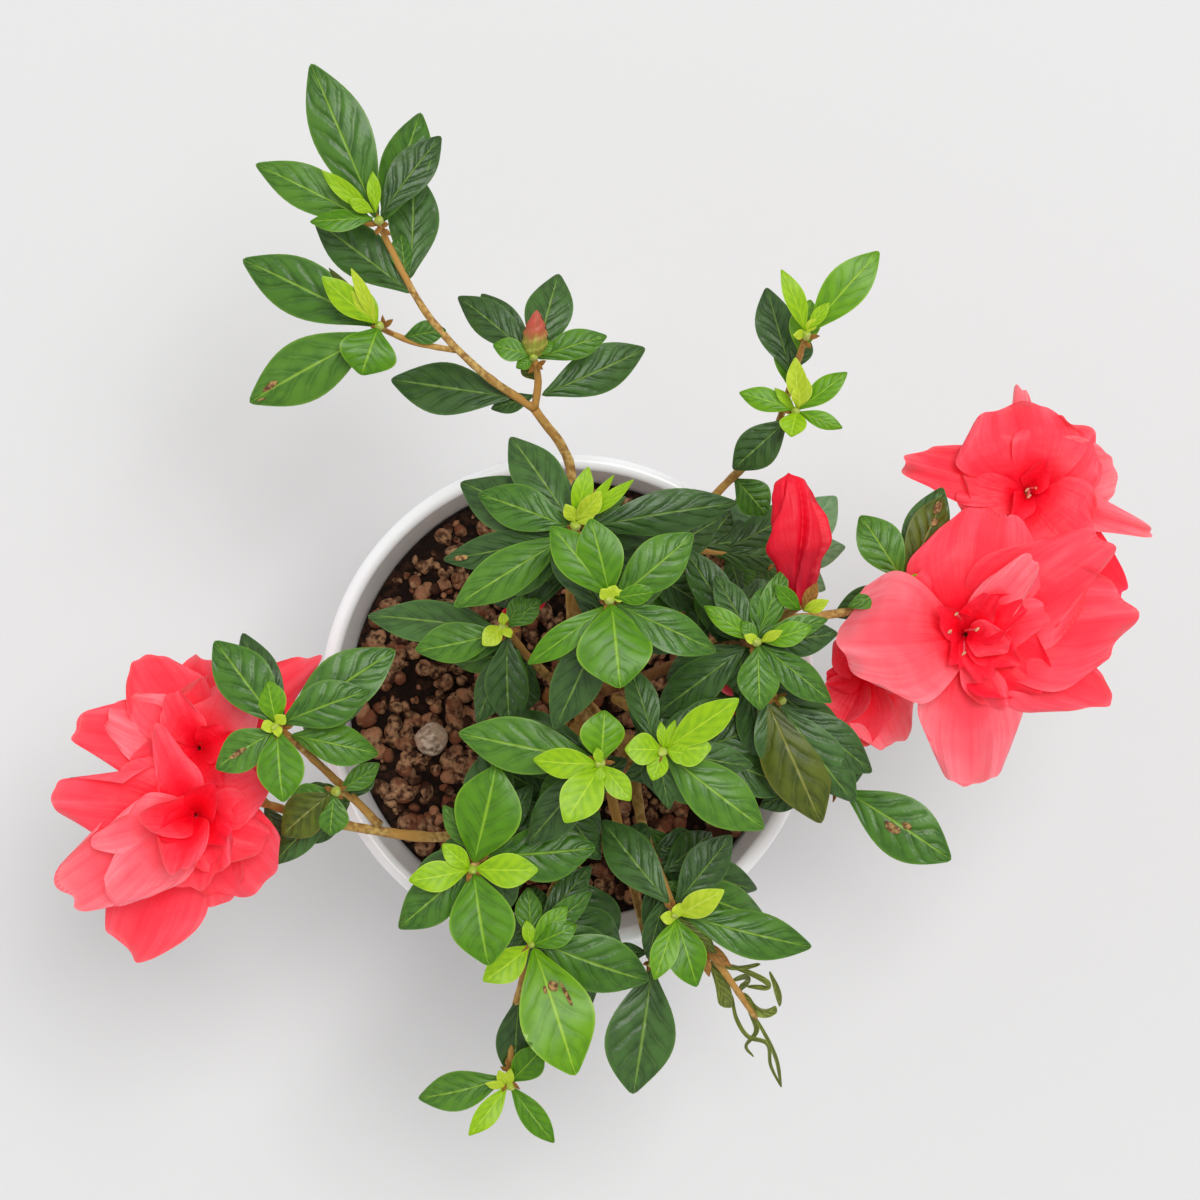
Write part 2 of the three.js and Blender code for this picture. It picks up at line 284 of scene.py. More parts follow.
def makeStudio():
    scene = bpy.context.scene
    scene.view_settings.view_transform = "Standard"
    lens = bpy.data.cameras.new("camera")
    lens.lens = studio["lens"]
    camera = bpy.data.objects.new("camera", lens)
    camera.location = (studio["aim"][0] * mm, studio["aim"][1] * mm, potHigh.z + studio["height"])
    scene.collection.objects.link(camera)
    scene.camera = camera
    world = bpy.data.worlds.new("studio")
    world.use_nodes = True
    world.node_tree.nodes["Background"].inputs["Color"].default_value = (1, 1, 1, 1)
    world.node_tree.nodes["Background"].inputs["Strength"].default_value = studio["sky"]
    scene.world = world
    for name in ("key", "fill"):
        look = studio[name]
        lamp = bpy.data.lights.new(name, "AREA")
        lamp.size = look["size"]
        lamp.energy = look["power"]
        light = bpy.data.objects.new(name, lamp)
        light.location = look["from"]
        light.rotation_euler = Vector(look["from"]).to_track_quat("Z", "Y").to_euler()
        scene.collection.objects.link(light)
    bm = bmesh.new()
    bmesh.ops.create_grid(bm, x_segments=1, y_segments=1, size=studio["floorHalf"])
    bmesh.ops.translate(bm, verts=bm.verts, vec=(0, 0, cadBox[0].z - 0.1 * mm))
    mesh = bpy.data.meshes.new("floor")
    bm.to_mesh(mesh)
    bm.free()
    mesh.materials.append(newFinish("floor", Roughness=0.9, Base_Color=linear(studio["floor"]))[0])
    floor = bpy.data.objects.new("floor", mesh)
    scene.collection.objects.link(floor)


makeStudio()
print("studio ready")


# pot: a thin tapered glazed shell with a rounded rim and four drain holes

potShape = {
    "foot": 54, "rim": 75, "wall": 4.8, "floor": 8,  # millimetres
    "rounding": 1.5,
    "steps": 144,
    "holes": {"count": 4, "radius": 4, "ring": 27},
}


def potRadius(height, inset=0.0):
    share = height / (potHigh.z / mm)
    return mixed(potShape["foot"], potShape["rim"], share) - inset


def glazeFinish():
    material, shader, start = newFinish("white_glaze", Roughness=0.24, Specular_IOR_Level=0.5)
    place = objectPlace(start)
    cloud = place.noise(18, 3)
    feed(shader, "Base Color", cloud.blend(linear("F6F6F9"), linear("FEFEFF")))
    ripple = place.stretched(1, 1, 5).noise(30, 2) + place.cells(900) * 0.05
    relief(shader, ripple, 0.0004, 0.25)
    return material


def makePot():
    high = potHigh.z / mm
    wall, floor, edge = potShape["wall"], potShape["floor"], potShape["rounding"]
    bm = newPiece()
    outline = [(0, 1.2), (potShape["foot"] - 8, 1.2), (potShape["foot"] - 6, 0)]
    outline += [(potRadius(0) - edge, 0), (potRadius(0) - edge * 0.3, edge * 0.3), (potRadius(edge), edge)]
    outline += [(potRadius(high * i / 6), high * i / 6) for i in range(1, 6)]
    middle = potRadius(high - wall / 2) - wall / 2
    for i in range(9):
        angle = math.pi * i / 8
        outline.append((middle + wall / 2 * math.cos(angle), high - wall / 2 + wall / 2 * math.sin(angle)))
    outline += [(potRadius(high * i / 6, wall), high * i / 6) for i in range(5, 0, -1)]
    outline += [(potRadius(floor + 4, wall), floor + 4), (potRadius(floor, wall) - 3, floor), (0, floor)]
    verts = [bm.verts.new((radius * mm, 0, height * mm)) for radius, height in outline]
    edges = [bm.edges.new(pair) for pair in zip(verts, verts[1:])]
    bmesh.ops.spin(bm, geom=verts + edges, axis=(0, 0, 1), cent=(0, 0, 0), angle=2 * math.pi,
                   steps=potShape["steps"], use_merge=True)
    bmesh.ops.remove_doubles(bm, verts=bm.verts, dist=1e-5)
    pot = finishPiece("pot_glazed", bm, glazeFinish(), ["pot"])
    drill = bmesh.new()
    holes = potShape["holes"]
    for i in range(holes["count"]):
        angle = (i + 0.5) / holes["count"] * 2 * math.pi
        place = Matrix.Translation(Vector((math.cos(angle), math.sin(angle), 0)) * holes["ring"] * mm)
        bmesh.ops.create_cone(drill, cap_ends=True, segments=32, radius1=holes["radius"] * mm,
                              radius2=holes["radius"] * mm, depth=4 * floor * mm, matrix=place)
    mesh = bpy.data.meshes.new("drill")
    drill.to_mesh(mesh)
    drill.free()
    cutter = bpy.data.objects.new("drill", mesh)
    bpy.context.scene.collection.objects.link(cutter)
    cut = pot.modifiers.new("holes", "BOOLEAN")
    cut.operation = "DIFFERENCE"
    cut.object = cutter
    bpy.context.view_layer.update()
    drilled = bpy.data.meshes.new_from_object(pot.evaluated_get(bpy.context.evaluated_depsgraph_get()))
    pot.modifiers.clear()
    pot.data = drilled
    bpy.data.objects.remove(cutter)


makePot()
print("pot made")


# potting mix: a dark bed with baked clay granules and one larger stone

soilShape = {
    "dip": 1.5,
    "granules": 1500,
    "sizes": (1.3, 4.3),  # radius, millimetres
    "stone": {"at": (-41.8, -12), "radius": 5.0},
    "tints": {"umber": "7C4A33", "tan": "AA7656", "dark": "3C2012"},
}


def soilFinish(name, colour, pale, dark):
    material, shader, start = newFinish(name, Roughness=0.92, Specular_IOR_Level=0.25)
    place = objectPlace(start)
    grain = place.noise(520, 4)
    shade = grain.fall(0.35, 0.65).blend(linear(pale), linear(dark))
    feed(shader, "Base Color", place.noise(140, 2).fall(0.4, 0.6).blend(linear(colour), shade))
    relief(shader, grain + place.cells(700) * 0.6, 0.0008, 0.9)
    return material


def bedHeight(x, y):
    lump = noise.noise(Vector((x, y, 3)) * 90) * 1.3 + noise.noise(Vector((x, y, 9)) * 260) * 0.7
    return soilHigh.z + (lump - 1.6) * mm


def makeSoil():
    rng = random.Random(31)
    wall, floor = potShape["wall"], soilLow.z / mm
    brim = soilHigh.z / mm - soilShape["dip"]
    bm = newPiece()

    def bedPoint(u, v):
        angle = 2 * math.pi * u
        way = Vector((math.cos(angle), math.sin(angle), 0))
        if v < 0.2:
            return way * (potRadius(floor, wall) - 4) * (v / 0.2) * mm + Vector((0, 0, soilLow.z))
        if v < 0.4:
            height = mixed(floor + 4, brim, clamp((v - 0.2) / 0.15))
            return way * (potRadius(height, wall) - 0.3) * mm + Vector((0, 0, height * mm))
        flat = way * (potRadius(brim, wall) - 0.3) * mm * (1 - (v - 0.4) / 0.6)
        return Vector((flat.x, flat.y, bedHeight(flat.x, flat.y) if v < 1 else bedHeight(0, 0)))

    addSheet(bm, 96, 50, bedPoint)
    finishPiece("soil_bed", bm, soilFinish("peat", "1A0D07", "3A2114", "0E0603"), ["soil"])
    lots = {tint: newPiece() for tint in soilShape["tints"]}
    tints = list(soilShape["tints"])
    for i in range(soilShape["granules"]):
        radius = math.sqrt(rng.random()) * (potRadius(brim, wall) - 3) * mm
        angle = i * golden
        x, y = radius * math.cos(angle), radius * math.sin(angle)
        size = mixed(*soilShape["sizes"], rng.random() ** 1.5) * mm
        bm = lots[rng.choices(tints, (5, 3, 4))[0]]
        turn = Matrix.Rotation(rng.random() * 6, 4, (rng.random(), rng.random(), 0.3))
        place = Matrix.Translation((x, y, bedHeight(x, y) + size * rng.uniform(0.0, 0.6)))
        lump = bmesh.ops.create_icosphere(bm, subdivisions=1, radius=size, matrix=place @ turn)["verts"]
        squeeze = Vector([rng.uniform(0.7, 1.2) for _ in range(3)])
        for vert in lump:
            away = (vert.co - place.translation) * squeeze
            vert.co = place.translation + away * rng.uniform(0.62, 1.35)
    for tint, bm in lots.items():
        colour = soilShape["tints"][tint]
        finish = soilFinish("clay_" + tint, colour, "B58A66", "3B2113")
        finishPiece("granules_" + tint, bm, finish, ["soil"], levels=1)
    bm = newPiece()
    stone = soilShape["stone"]
    middle = Vector((stone["at"][0] * mm, stone["at"][1] * mm, 0))
    middle.z = bedHeight(middle.x, middle.y) + 2.5 * mm
    lump = bmesh.ops.create_icosphere(bm, subdivisions=3, radius=stone["radius"] * mm,
                                      matrix=Matrix.Translation(middle))["verts"]
    for vert in lump:
        away = vert.co - middle
        swell = 1 + 0.3 * noise.noise(away * 210 + Vector((4, 1, 7))) + 0.12 * noise.noise(away * 700)
        vert.co = middle + Vector((away.x * swell, away.y * swell * 1.08, away.z * swell * 0.75))
    finish = soilFinish("pale_stone", "B79C84", "DCC9B4", "7C6450")
    finishPiece("stone", bm, finish, ["soil"], levels=1)


makeSoil()
print("potting mix made")


# stems: a flared trunk, boughs along their routes and a fresh shoot up to each whorl

forkTop = (2.5, 1.5, 146)
stems = {  # route in millimetres, radius at the foot and at the tip; the last point is the whorl's heart
    "bough_north": ([forkTop, (1, 40, 158), (1, 69, 168), (-9, 85, 180)], (1.9, 1.25)),
    "bough_northwest": ([(-9, 85, 180), (-25, 96, 188), (-39, 111, 194), (-49, 129, 198), (-52, 136, 205)],
                        (1.2, 0.9)),
    "bough_northwest_side": ([(-31, 101, 190), (-42, 103, 190.5), (-50, 106, 193), (-52, 107, 198)],
                             (0.9, 0.8)),
    "bough_north_bud": ([(-9, 85, 180), (-8, 93, 184), (-9, 99, 190)], (1.15, 0.95)),
    "bough_northeast": ([forkTop, (22, 36, 160), (43, 61, 176), (57, 75, 186), (61, 84, 192), (66, 103, 215)],
                        (1.75, 0.8)),
    "bough_northeast_side": ([(59, 79, 188), (62, 81, 196), (64, 83, 205)], (1.1, 0.9)),
    "bough_north_centre": ([forkTop, (3, 30, 180), (3, 51, 225)], (1.6, 1.1)),
    "bough_centre": ([forkTop, (6, 12, 190), (12.5, 30.5, 240)], (1.8, 1.1)),
    "bough_west_centre": ([forkTop, (-9, 12, 170), (-17, 23, 200)], (1.5, 1.0)),
    "bough_south_centre": ([forkTop, (10, -11, 180), (10, -14, 222)], (1.7, 1.1)),
    "bough_southeast_centre": ([(9.5, -8, 172), (20, -9, 195), (27, -10, 228)], (1.5, 1.1)),
    "bough_east": ([forkTop, (24, 9, 170), (42, 17, 190), (53, 19, 215)], (2.0, 1.1)),
    "bough_east_bloom": ([(36, 15, 183), (58, 24, 190), (80, 27.5, 190), (95, 34, 188), (109, 23, 192)],
                         (1.4, 1.1)),
    "bough_east_upper": ([(95, 34, 188), (112, 46, 184), (131, 61, 182)], (1.3, 1.1)),
    "bough_bud": ([(57, 24, 190), (60, 26, 200), (65, 29, 211)], (1.1, 1.1)),
    "bough_west": ([(-2, -2, 132), (-20, -34, 142), (-38, -39, 150), (-69, -34, 161), (-93, -27, 166),
                    (-104, -28, 169)], (1.9, 1.1)),
    "bough_west_rosette": ([(-55, -35, 157), (-64, -24, 169), (-73, -14, 179), (-81, -4.5, 195)], (1.3, 1.0)),
    "bough_west_upper": ([(-86, -29, 165), (-99, -17, 163), (-106, -12, 160)], (1.1, 0.9)),
    "bough_southwest": ([forkTop, (-12, -24, 168), (-26, -44, 205)], (1.7, 1.1)),
    "bough_south": ([(4, -2, 136), (2, -36, 152), (-10, -67, 185)], (1.8, 1.1)),
    "bough_low_south": ([(-3, -52, 163), (-14, -84, 160), (-17, -110, 160)], (1.4, 1.0)),
    "bough_southeast": ([(5, 1, 141), (18, -16, 156), (22, -35, 170), (31, -58.5, 190)], (1.8, 1.2)),
    "bough_low_southeast": ([(8, -6, 146), (16, -40, 141), (25, -75, 164)], (1.7, 1.1)),
    "bough_southeast_outer": ([(16, -13, 154), (44, -16, 168), (78, -22.5, 189)], (1.6, 1.0)),
    "shoot_shrivelled": ([(31, -60, 181), (40, -69, 180), (46, -77, 177), (54.5, -90, 168)], (1.35, 0.8)),
    "twig_hanging": ([(42, 17, 190), (52, 10, 199), (60, 2, 201)], (1.1, 0.9)),
    "twig_east": ([(94, 33, 188), (95, 35, 191), (95, 35.5, 195)], (1.1, 0.9)),
    "twig_west_low": ([(-62, -27, 166), (-64, -25, 172), (-66, -24, 180)], (1.0, 0.8)),
    "twig_third": ([(58, -18.5, 176), (68, -14, 172), (78, -2, 169), (85, 9, 169)], (1.1, 0.9)),
    "twig_glimpse": ([(30, -7, 184), (42, -2, 182), (51, 4, 185)], (1.0, 0.9)),
    "twig_inner_north": ([(3, 20, 172), (14, 33, 181), (24, 44, 190)], (1.4, 1.0)),
    "twig_inner_east": ([(14, 2, 160), (28, -6, 180), (40, -14, 196)], (1.5, 1.0)),
    "twig_inner_south": ([(2, -6, 150), (-1, -18, 170), (-4, -30, 185)], (1.5, 1.0)),
    "twig_low_northeast": ([(30, 46, 166), (48, 44, 162), (63, 42, 158)], (1.3, 0.9)),
}
stemShape = {  # rings and knots every so many millimetres; a foot thinner than woody has young bark
    "columns": 9, "step": 2.6, "knots": 7.0, "knotSwell": 0.13, "woody": 1.95, "bark": 0.16,
}
trunkShape = {"at": (0, 3), "lean": (2.5, -1.5), "radius": 4.6, "flare": 8.4, "taper": 0.62, "sunk": 1.5}
routes = {}


def barkFinish(name, colour, pale, dark, ridge):
    material, shader, start = newFinish(name, Roughness=0.68, Specular_IOR_Level=0.35)
    place = objectPlace(start)
    streak = place.stretched(1, 1, 0.45).noise(650, 4)
    flake = place.cells(420)
    tone = streak.fall(0.35, 0.68).blend(linear(pale), linear(dark))
    feed(shader, "Base Color", place.noise(90, 2).fall(0.35, 0.62).blend(linear(colour), tone))
    relief(shader, streak + flake * 0.5, ridge, 0.7)
    return material


def growStem(bm, name, route, radii, rng):
    points = [Vector(point) * mm for point in route]
    rough = sum((b - a).length for a, b in zip(points, points[1:])) / mm
    rows = max(8, round(rough / stemShape["step"]))
    path, length = evenRoute(points, rows)
    routes[name] = path
    ways, sides = [], []
    side = None
    for i in range(rows + 1):
        way = (path[min(i + 1, rows)] - path[max(i - 1, 0)]).normalized()
        guess = side if side else way.orthogonal()
        side = (guess - way * guess.dot(way)).normalized()
        ways.append(way)
        sides.append(side)
    turn = rng.random() * 6

    def stemPoint(u, v):
        i = round(v * (rows + 2))
        at = clamp(i - 1, 0, rows)
        angle = 2 * math.pi * u
        share = at / rows
        radius = mixed(radii[0], radii[1], share)
        knot = math.cos(2 * math.pi * (share * length / mm / stemShape["knots"]) + turn)
        radius *= 1 + stemShape["knotSwell"] * max(0, knot) ** 6
        out = sides[at] * math.cos(angle) + ways[at].cross(sides[at]) * math.sin(angle)
        grain = noise.noise(path[at] * 260 + out * 1.7)
        if i in (0, rows + 2):
            radius = 0
        return path[at] + out * radius * (1 + stemShape["bark"] * grain) * mm

    addSheet(bm, stemShape["columns"], rows + 2, stemPoint)


def makeTrunk(bm):
    foot = soilHigh.z - trunkShape["sunk"] * mm
    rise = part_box("trunk")[1].z - foot
    thick, flare = trunkShape["radius"], trunkShape["flare"]
    (atX, atY), (leanX, leanY) = trunkShape["at"], trunkShape["lean"]

    def trunkPoint(u, v):
        angle = 2 * math.pi * u
        share = clamp((v - 0.04) / 0.92)
        radius = mixed(thick, thick * trunkShape["taper"], share ** 2)
        radius += (flare - thick) * (1 - clamp(share * 3.4)) ** 2
        radius *= 1 + 0.13 * math.cos(5 * angle + 1) * (1 - clamp(share * 2))
        radius *= 1 + 0.09 * noise.noise(Vector((math.cos(angle) * 2.4, math.sin(angle) * 2.4, share * 5)))
        if v in (0, 1):
            radius = 0
        x = atX + leanX * share + radius * math.cos(angle)
        y = atY + leanY * share + radius * math.sin(angle)
        return Vector((x * mm, y * mm, foot + rise * share))

    addSheet(bm, 28, 30, trunkPoint)


def makeStems():
    rng = random.Random(5)
    woody, fresh = newPiece(), newPiece()
    makeTrunk(woody)
    for name, (route, radii) in stems.items():
        growStem(fresh if radii[0] < stemShape["woody"] else woody, name, route, radii, rng)
    old = barkFinish("bark_old", "8A5A2C", "B8844A", "52321A", 0.0005)
    young = barkFinish("bark_young", "B98942", "D2B066", "946A32", 0.00025)
    finishPiece("stems_old", woody, old, ["trunk", *limbs])
    finishPiece("stems_young", fresh, young, limbs)


makeStems()
print("stems made")


# leaves: elliptic, short-stalked, quilted between impressed side veins, in whorls at the shoots' ends

leafShape = {
    "columns": 8, "rows": 9, "stalk": 0.07, "stalkRadius": 0.5, "thickness": 0.2,
    "shoulder": 1.1, "blunt": 0.8, "keen": 1.08,  # how far out the leaf is widest, its foot and its tip
}
leafAges = {  # lift at the stalk and slope of the tip in degrees, fold, arch across, mm below the heart
    "lime": {"lift": 34, "tip": 0, "fold": 0.28, "arch": 0.1, "down": 0},
    "pale": {"lift": 48, "tip": 18, "fold": 0.35, "arch": 0.05, "down": -1},
    "bright": {"lift": 26, "tip": -12, "fold": 0.2, "arch": 0.22, "down": 1},
    "mature": {"lift": 18, "tip": -16, "fold": 0.16, "arch": 0.3, "down": 3},
    "dark": {"lift": 8, "tip": -22, "fold": 0.12, "arch": 0.3, "down": 6},
    "olive": {"lift": 12, "tip": -26, "fold": 0.2, "arch": 0.4, "down": 4},
    "grey": {"lift": 5, "tip": -14, "fold": 0.12, "arch": 0.2, "down": 3},
    "rust": {"lift": 30, "tip": -5, "fold": 0.3, "arch": 0.1, "down": 1},
    "under": {"lift": 6, "tip": -44, "fold": 0.15, "arch": 0.3, "down": 8},
}
leafTints = {  # upper side, deep upper side (random tone, and painted shade by the side veins), vein, margin, under side, roughness, depth of the quilting
    "lime": ("98C200", "7CAC00", "BEDC30", "CBE250", "A8CF40", 0.45, 0.00006),
    "pale": ("C0D434", "A6C418", "D6E268", "DCE680", "C4D85C", 0.48, 0.00005),
    "bright": ("548A00", "407200", "94BE28", "9CC434", "86AC3C", 0.38, 0.00012),
    "bright_b": ("6AA000", "528600", "A6CC34", "AED044", "90B648", 0.4, 0.0001),
    "mature": ("4A7820", "305A16", "90B838", "78A034", "7A9C44", 0.34, 0.00032),
    "mature_b": ("568522", "3C6A18", "98C040", "82AC3C", "82A44C", 0.36, 0.00028),
    "dark": ("3E5F28", "28461C", "7CA040", "5E8638", "6A8A44", 0.35, 0.00038),
    "dark_b": ("466C2E", "304F20", "86A844", "68903E", "729048", 0.36, 0.00034),
    "olive": ("5A6614", "3C4A08", "98984A", "8A7A38", "808040", 0.42, 0.0003),
    "grey": ("789A6C", "62885A", "98B48C", "96B28A", "8CA880", 0.55, 0.0002),
    "rust": ("A8742E", "7E4E1C", "C49A4A", "B88A40", "9A6A30", 0.6, 0.0001),
    "bud": ("BCCE50", "A2BA34", "D0DA70", "D8DE84", "B6C65C", 0.48, 0.00005),
}
whorls = {  # stem, then the leaves of each age as (bearing, reach, width) or with the distance down the stem
    "foliage_northwest_tip": ("bough_northwest", {
        "mature": [(113, 50, 17), (152, 40, 13), (69, 35, 15), (98, 13, 8, 20)],
        "dark": [(56, 30, 12, 0), (85, 34, 15, 22), (141, 37, 15, 26)],
        "bright": [(186, 19, 7, -1)],
        "lime": [(143, 19, 5, -2), (93, 12, 4, -2), (158, 8, 4, -3)],
    }),
    "foliage_northwest_side": ("bough_northwest_side", {
        "mature": [(152, 45, 17), (207, 44, 18), (12, 13, 7, 10)],
        "bright": [(252, 15, 17, -1)],
        "lime": [(143, 20, 8, -2), (104, 9, 3, -2)],
        "pale": [(117, 17, 4), (128, 12, 4)],
        "olive": [(131, 22, 3, -1)],
    }),
    "foliage_north": ("bough_north_bud", {
        "dark": [(137, 29, 11, 1), (125, 27, 10, 4), (76, 27, 14, 2), (22, 35, 14, 14), (200, 14, 6, 13)],
        "mature": [(22, 22, 9, 1)],
        "bright": [(170, 12, 7, -1), (30, 7, 4, -1), (215, 6, 4, 0)],
        "olive": [(125, 8, 6, 9)],
    }),
    "foliage_northeast_tip": ("bough_northeast", {
        "bright_b": [(51, 31, 12, 0), (83, 16, 9, 8)],
        "lime": [(109, 19, 6, -1), (53, 10, 4, -2)],
        "dark": [(108, 27, 12, 17), (70, 11, 7, 14)],
        "pale": [(190, 4, 3), (60, 5, 3)],
    }),
    "foliage_northeast_side": ("bough_northeast_side", {
        "bright_b": [(159, 17, 7, 0), (35, 18, 7, 0), (340, 14, 5, 0)],
        "lime": [(255, 8, 8, -1), (135, 9, 3, 0)],
        "pale": [(80, 10, 6, -1), (98, 14, 6, -3), (88, 7, 5, -3)],
        "dark": [(222, 22, 12, 6)],
    }),
    "foliage_north_centre": ("bough_north_centre", {
        "mature": [(158, 29, 13), (211, 40, 13, 4)],
        "dark": [(123, 32, 14, 3), (154, 36, 17, 7), (194, 38, 11, 5), (12, 46, 13, 3)],
        "lime": [(78, 16, 6, -1), (48, 17, 3, -1), (34, 20, 4, -1)],
        "pale": [(48, 11, 6, -2), (118, 6, 4), (20, 6, 3)],
    }),
    "foliage_centre": ("bough_centre", {
        "bright": [(126, 26, 12, 0), (102, 23, 13, 0), (7, 12, 6, -2), (277, 24, 21, 0), (218, 28, 8, 2)],
        "mature": [(38, 30, 14), (335, 32, 12, 1)],
        "dark": [(248, 37, 14, 5)],
        "pale": [(70, 4, 4), (30, 4, 4), (140, 4, 4)],
    }),
    "foliage_west_centre": ("bough_west_centre", {
        "mature_b": [(196, 27, 12), (39, 13, 7, 1), (60, 11, 6, 1)],
        "dark": [(171, 41, 13, 4), (268, 28, 13, 3), (248, 27, 11, 8)],
        "pale": [(220, 8, 6, -1), (95, 4, 3), (300, 4, 3)],
    }),
    "foliage_south_centre": ("bough_south_centre", {
        "bright": [(88, 15, 13, 0)],
        "lime": [(179, 19, 9), (239, 19, 12), (309, 13, 7), (110, 5, 3, -2), (265, 5, 3, -2)],
        "mature": [(170, 41, 16, 7)],
        "dark": [(226, 32, 13, 11)],
    }),
    "foliage_southeast_centre": ("bough_southeast_centre", {
        "lime": [(176, 11, 9), (37, 25, 10), (3, 13, 10), (350, 8, 6, -1), (249, 9, 6), (100, 8, 3),
                 (68, 9, 3)],
        "mature": [(322, 37, 16, 7)],
        "dark": [(346, 28, 10, 11), (284, 18, 7, 11), (104, 24, 9, 12)],
    }),
    "foliage_east_centre": ("bough_east", {
        "dark": [(121, 22, 9, 2), (4, 25, 11, 5), (217, 34, 13, 5), (123, 32, 11, 8), (205, 22, 9, 9)],
        "bright": [(145, 18, 6), (134, 8, 4, -1), (13, 15, 7, -1)],
        "mature": [(74, 18, 10, 1), (70, 23, 7, 2), (323, 27, 10, 1), (269, 19, 12, 0), (20, 22, 7, 3)],
        "pale": [(30, 7, 3), (160, 5, 3)],
    }),
    "foliage_east_hanging": ("twig_hanging", {
        "dark": [(326, 33, 13, 0), (304, 38, 15, 2), (312, 24, 12, 1)],
        "dark_b": [(280, 26, 12, 6)],
        "olive": [(294, 46, 19, 10)],
    }),
    "foliage_southwest": ("bough_southwest", {
        "bright": [(75, 30, 20, 1), (278, 28, 19, 1)],
        "lime": [(192, 18, 9), (139, 11, 6), (0, 19, 10)],
        "mature": [(221, 30, 14, 5), (2, 33, 17, 7), (128, 18, 7, 7)],
        "dark": [(50, 24, 8, 9), (90, 29, 15, 12)],
    }),
    "foliage_south": ("bough_south", {
        "bright": [(291, 40, 22, 1), (48, 16, 7, -1), (28, 15, 8, -1)],
        "lime": [(220, 17, 10), (95, 8, 4, -1)],
        "mature": [(337, 36, 18, 2), (94, 16, 8, 1), (38, 22, 8, 2)],
        "dark": [(50, 24, 9, 6), (272, 26, 10, 10)],
    }),
    "foliage_low_south": ("bough_low_south", {
        "mature": [(197, 28, 12, 2)],
        "bright": [(45, 15, 10, 0), (309, 22, 8, 0)],
        "lime": [(234, 19, 7)],
        "pale": [(163, 7, 3), (114, 6, 4), (80, 6, 3)],
    }),
    "foliage_southeast": ("bough_southeast", {
        "olive": [(300, 15, 4, 0), (318, 16, 5, 0)],
        "dark": [(51, 27, 13, 3)],
        "dark_b": [(130, 32, 14, 3)],
        "pale": [(34, 16, 8, 0), (80, 5, 4), (170, 5, 4)],
        "mature": [(345, 41, 14, 1)],
        "bright": [(252, 19, 8, 0), (287, 22, 12, 1)],
    }),
    "foliage_low_southeast": ("bough_low_southeast", {"dark": [(263, 40, 22, 1), (180, 12, 6, 4)]}),
    "foliage_west": ("bough_west_rosette", {
        "mature": [(125, 32, 16), (36, 40, 17, 2), (24, 28, 14, 0), (350, 27, 12, 6), (209, 22, 12, 2)],
        "dark": [(116, 32, 12, 6), (48, 30, 11, 14)],
        "bright": [(101, 13, 9, 0), (274, 22, 14, 0)],
        "pale": [(40, 4, 4), (200, 4, 4), (290, 4, 3)],
    }),
    "foliage_west_low": ("twig_west_low", {
        "olive": [(217, 20, 13, -1)], "mature_b": [(196, 15, 10, 2), (262, 13, 10, 0), (30, 15, 7, 2)],
        "dark": [(222, 30, 10, 8)],
    }),
    "foliage_east": ("twig_east", {
        "mature": [(123, 23, 13, 0), (203, 18, 6, 0)],
        "dark": [(70, 30, 13, 2), (204, 22, 9, 3), (25, 20, 10, 3)],
        "olive": [(66, 27, 12, 0)],
        "lime": [(20, 6, 4), (150, 5, 3)],
    }),
    "foliage_southeast_outer": ("bough_southeast_outer", {
        "mature": [(330, 38, 18, 1)], "dark": [(200, 18, 9, 8), (20, 12, 7, 6)],
    }),
    "foliage_inner_north": ("twig_inner_north", {
        "dark": [(30, 28, 12), (330, 24, 11), (95, 18, 9), (200, 16, 8)],
        "dark_b": [(60, 20, 10), (270, 20, 10)],
    }),
    "foliage_inner_east": ("twig_inner_east", {
        "dark": [(20, 26, 12), (340, 31, 13), (200, 22, 10)],
        "dark_b": [(295, 26, 12), (100, 22, 10), (60, 24, 10)],
    }),
    "foliage_inner_south": ("twig_inner_south", {
        "dark": [(30, 24, 11), (150, 26, 11), (310, 22, 10)],
        "dark_b": [(90, 20, 10), (210, 22, 10), (250, 18, 8)],
    }),
    "foliage_low_northeast": ("twig_low_northeast", {
        "grey": [(45, 27, 15), (120, 22, 14), (155, 20, 12), (330, 18, 10), (235, 16, 9), (10, 22, 10)],
    }),
}
leafLots = {tint: newPiece(True) for tint in leafTints}
leafHomes = {tint: set() for tint in leafTints}


def archOf(lift, tip, reach, quick=1.0, steps=24):
    # how far out, how high and how steep a leaf or petal lies at each share of its length
    slopes = [mixed(lift, tip, 1 - (1 - i / steps) ** quick) for i in range(steps + 1)]
    run, rise = [0.0], [0.0]
    for a, b in zip(slopes, slopes[1:]):
        run.append(run[-1] + math.cos((a + b) / 2))
        rise.append(rise[-1] + math.sin((a + b) / 2))
    scale = reach / run[-1]

    def at(share):
        place = clamp(share) * steps
        i = min(int(place), steps - 1)
        part = place - i
        far, high = mixed(run[i], run[i + 1], part) * scale, mixed(rise[i], rise[i + 1], part) * scale
        return far, high, mixed(slopes[i], slopes[i + 1], part)

    return at


def leafWidth(v):
    start = leafShape["stalk"]
    t = clamp((v - start) / (1 - start))
    wide = max(0.0, math.sin(math.pi * t ** leafShape["shoulder"]))
    return wide ** mixed(leafShape["blunt"], leafShape["keen"], t)


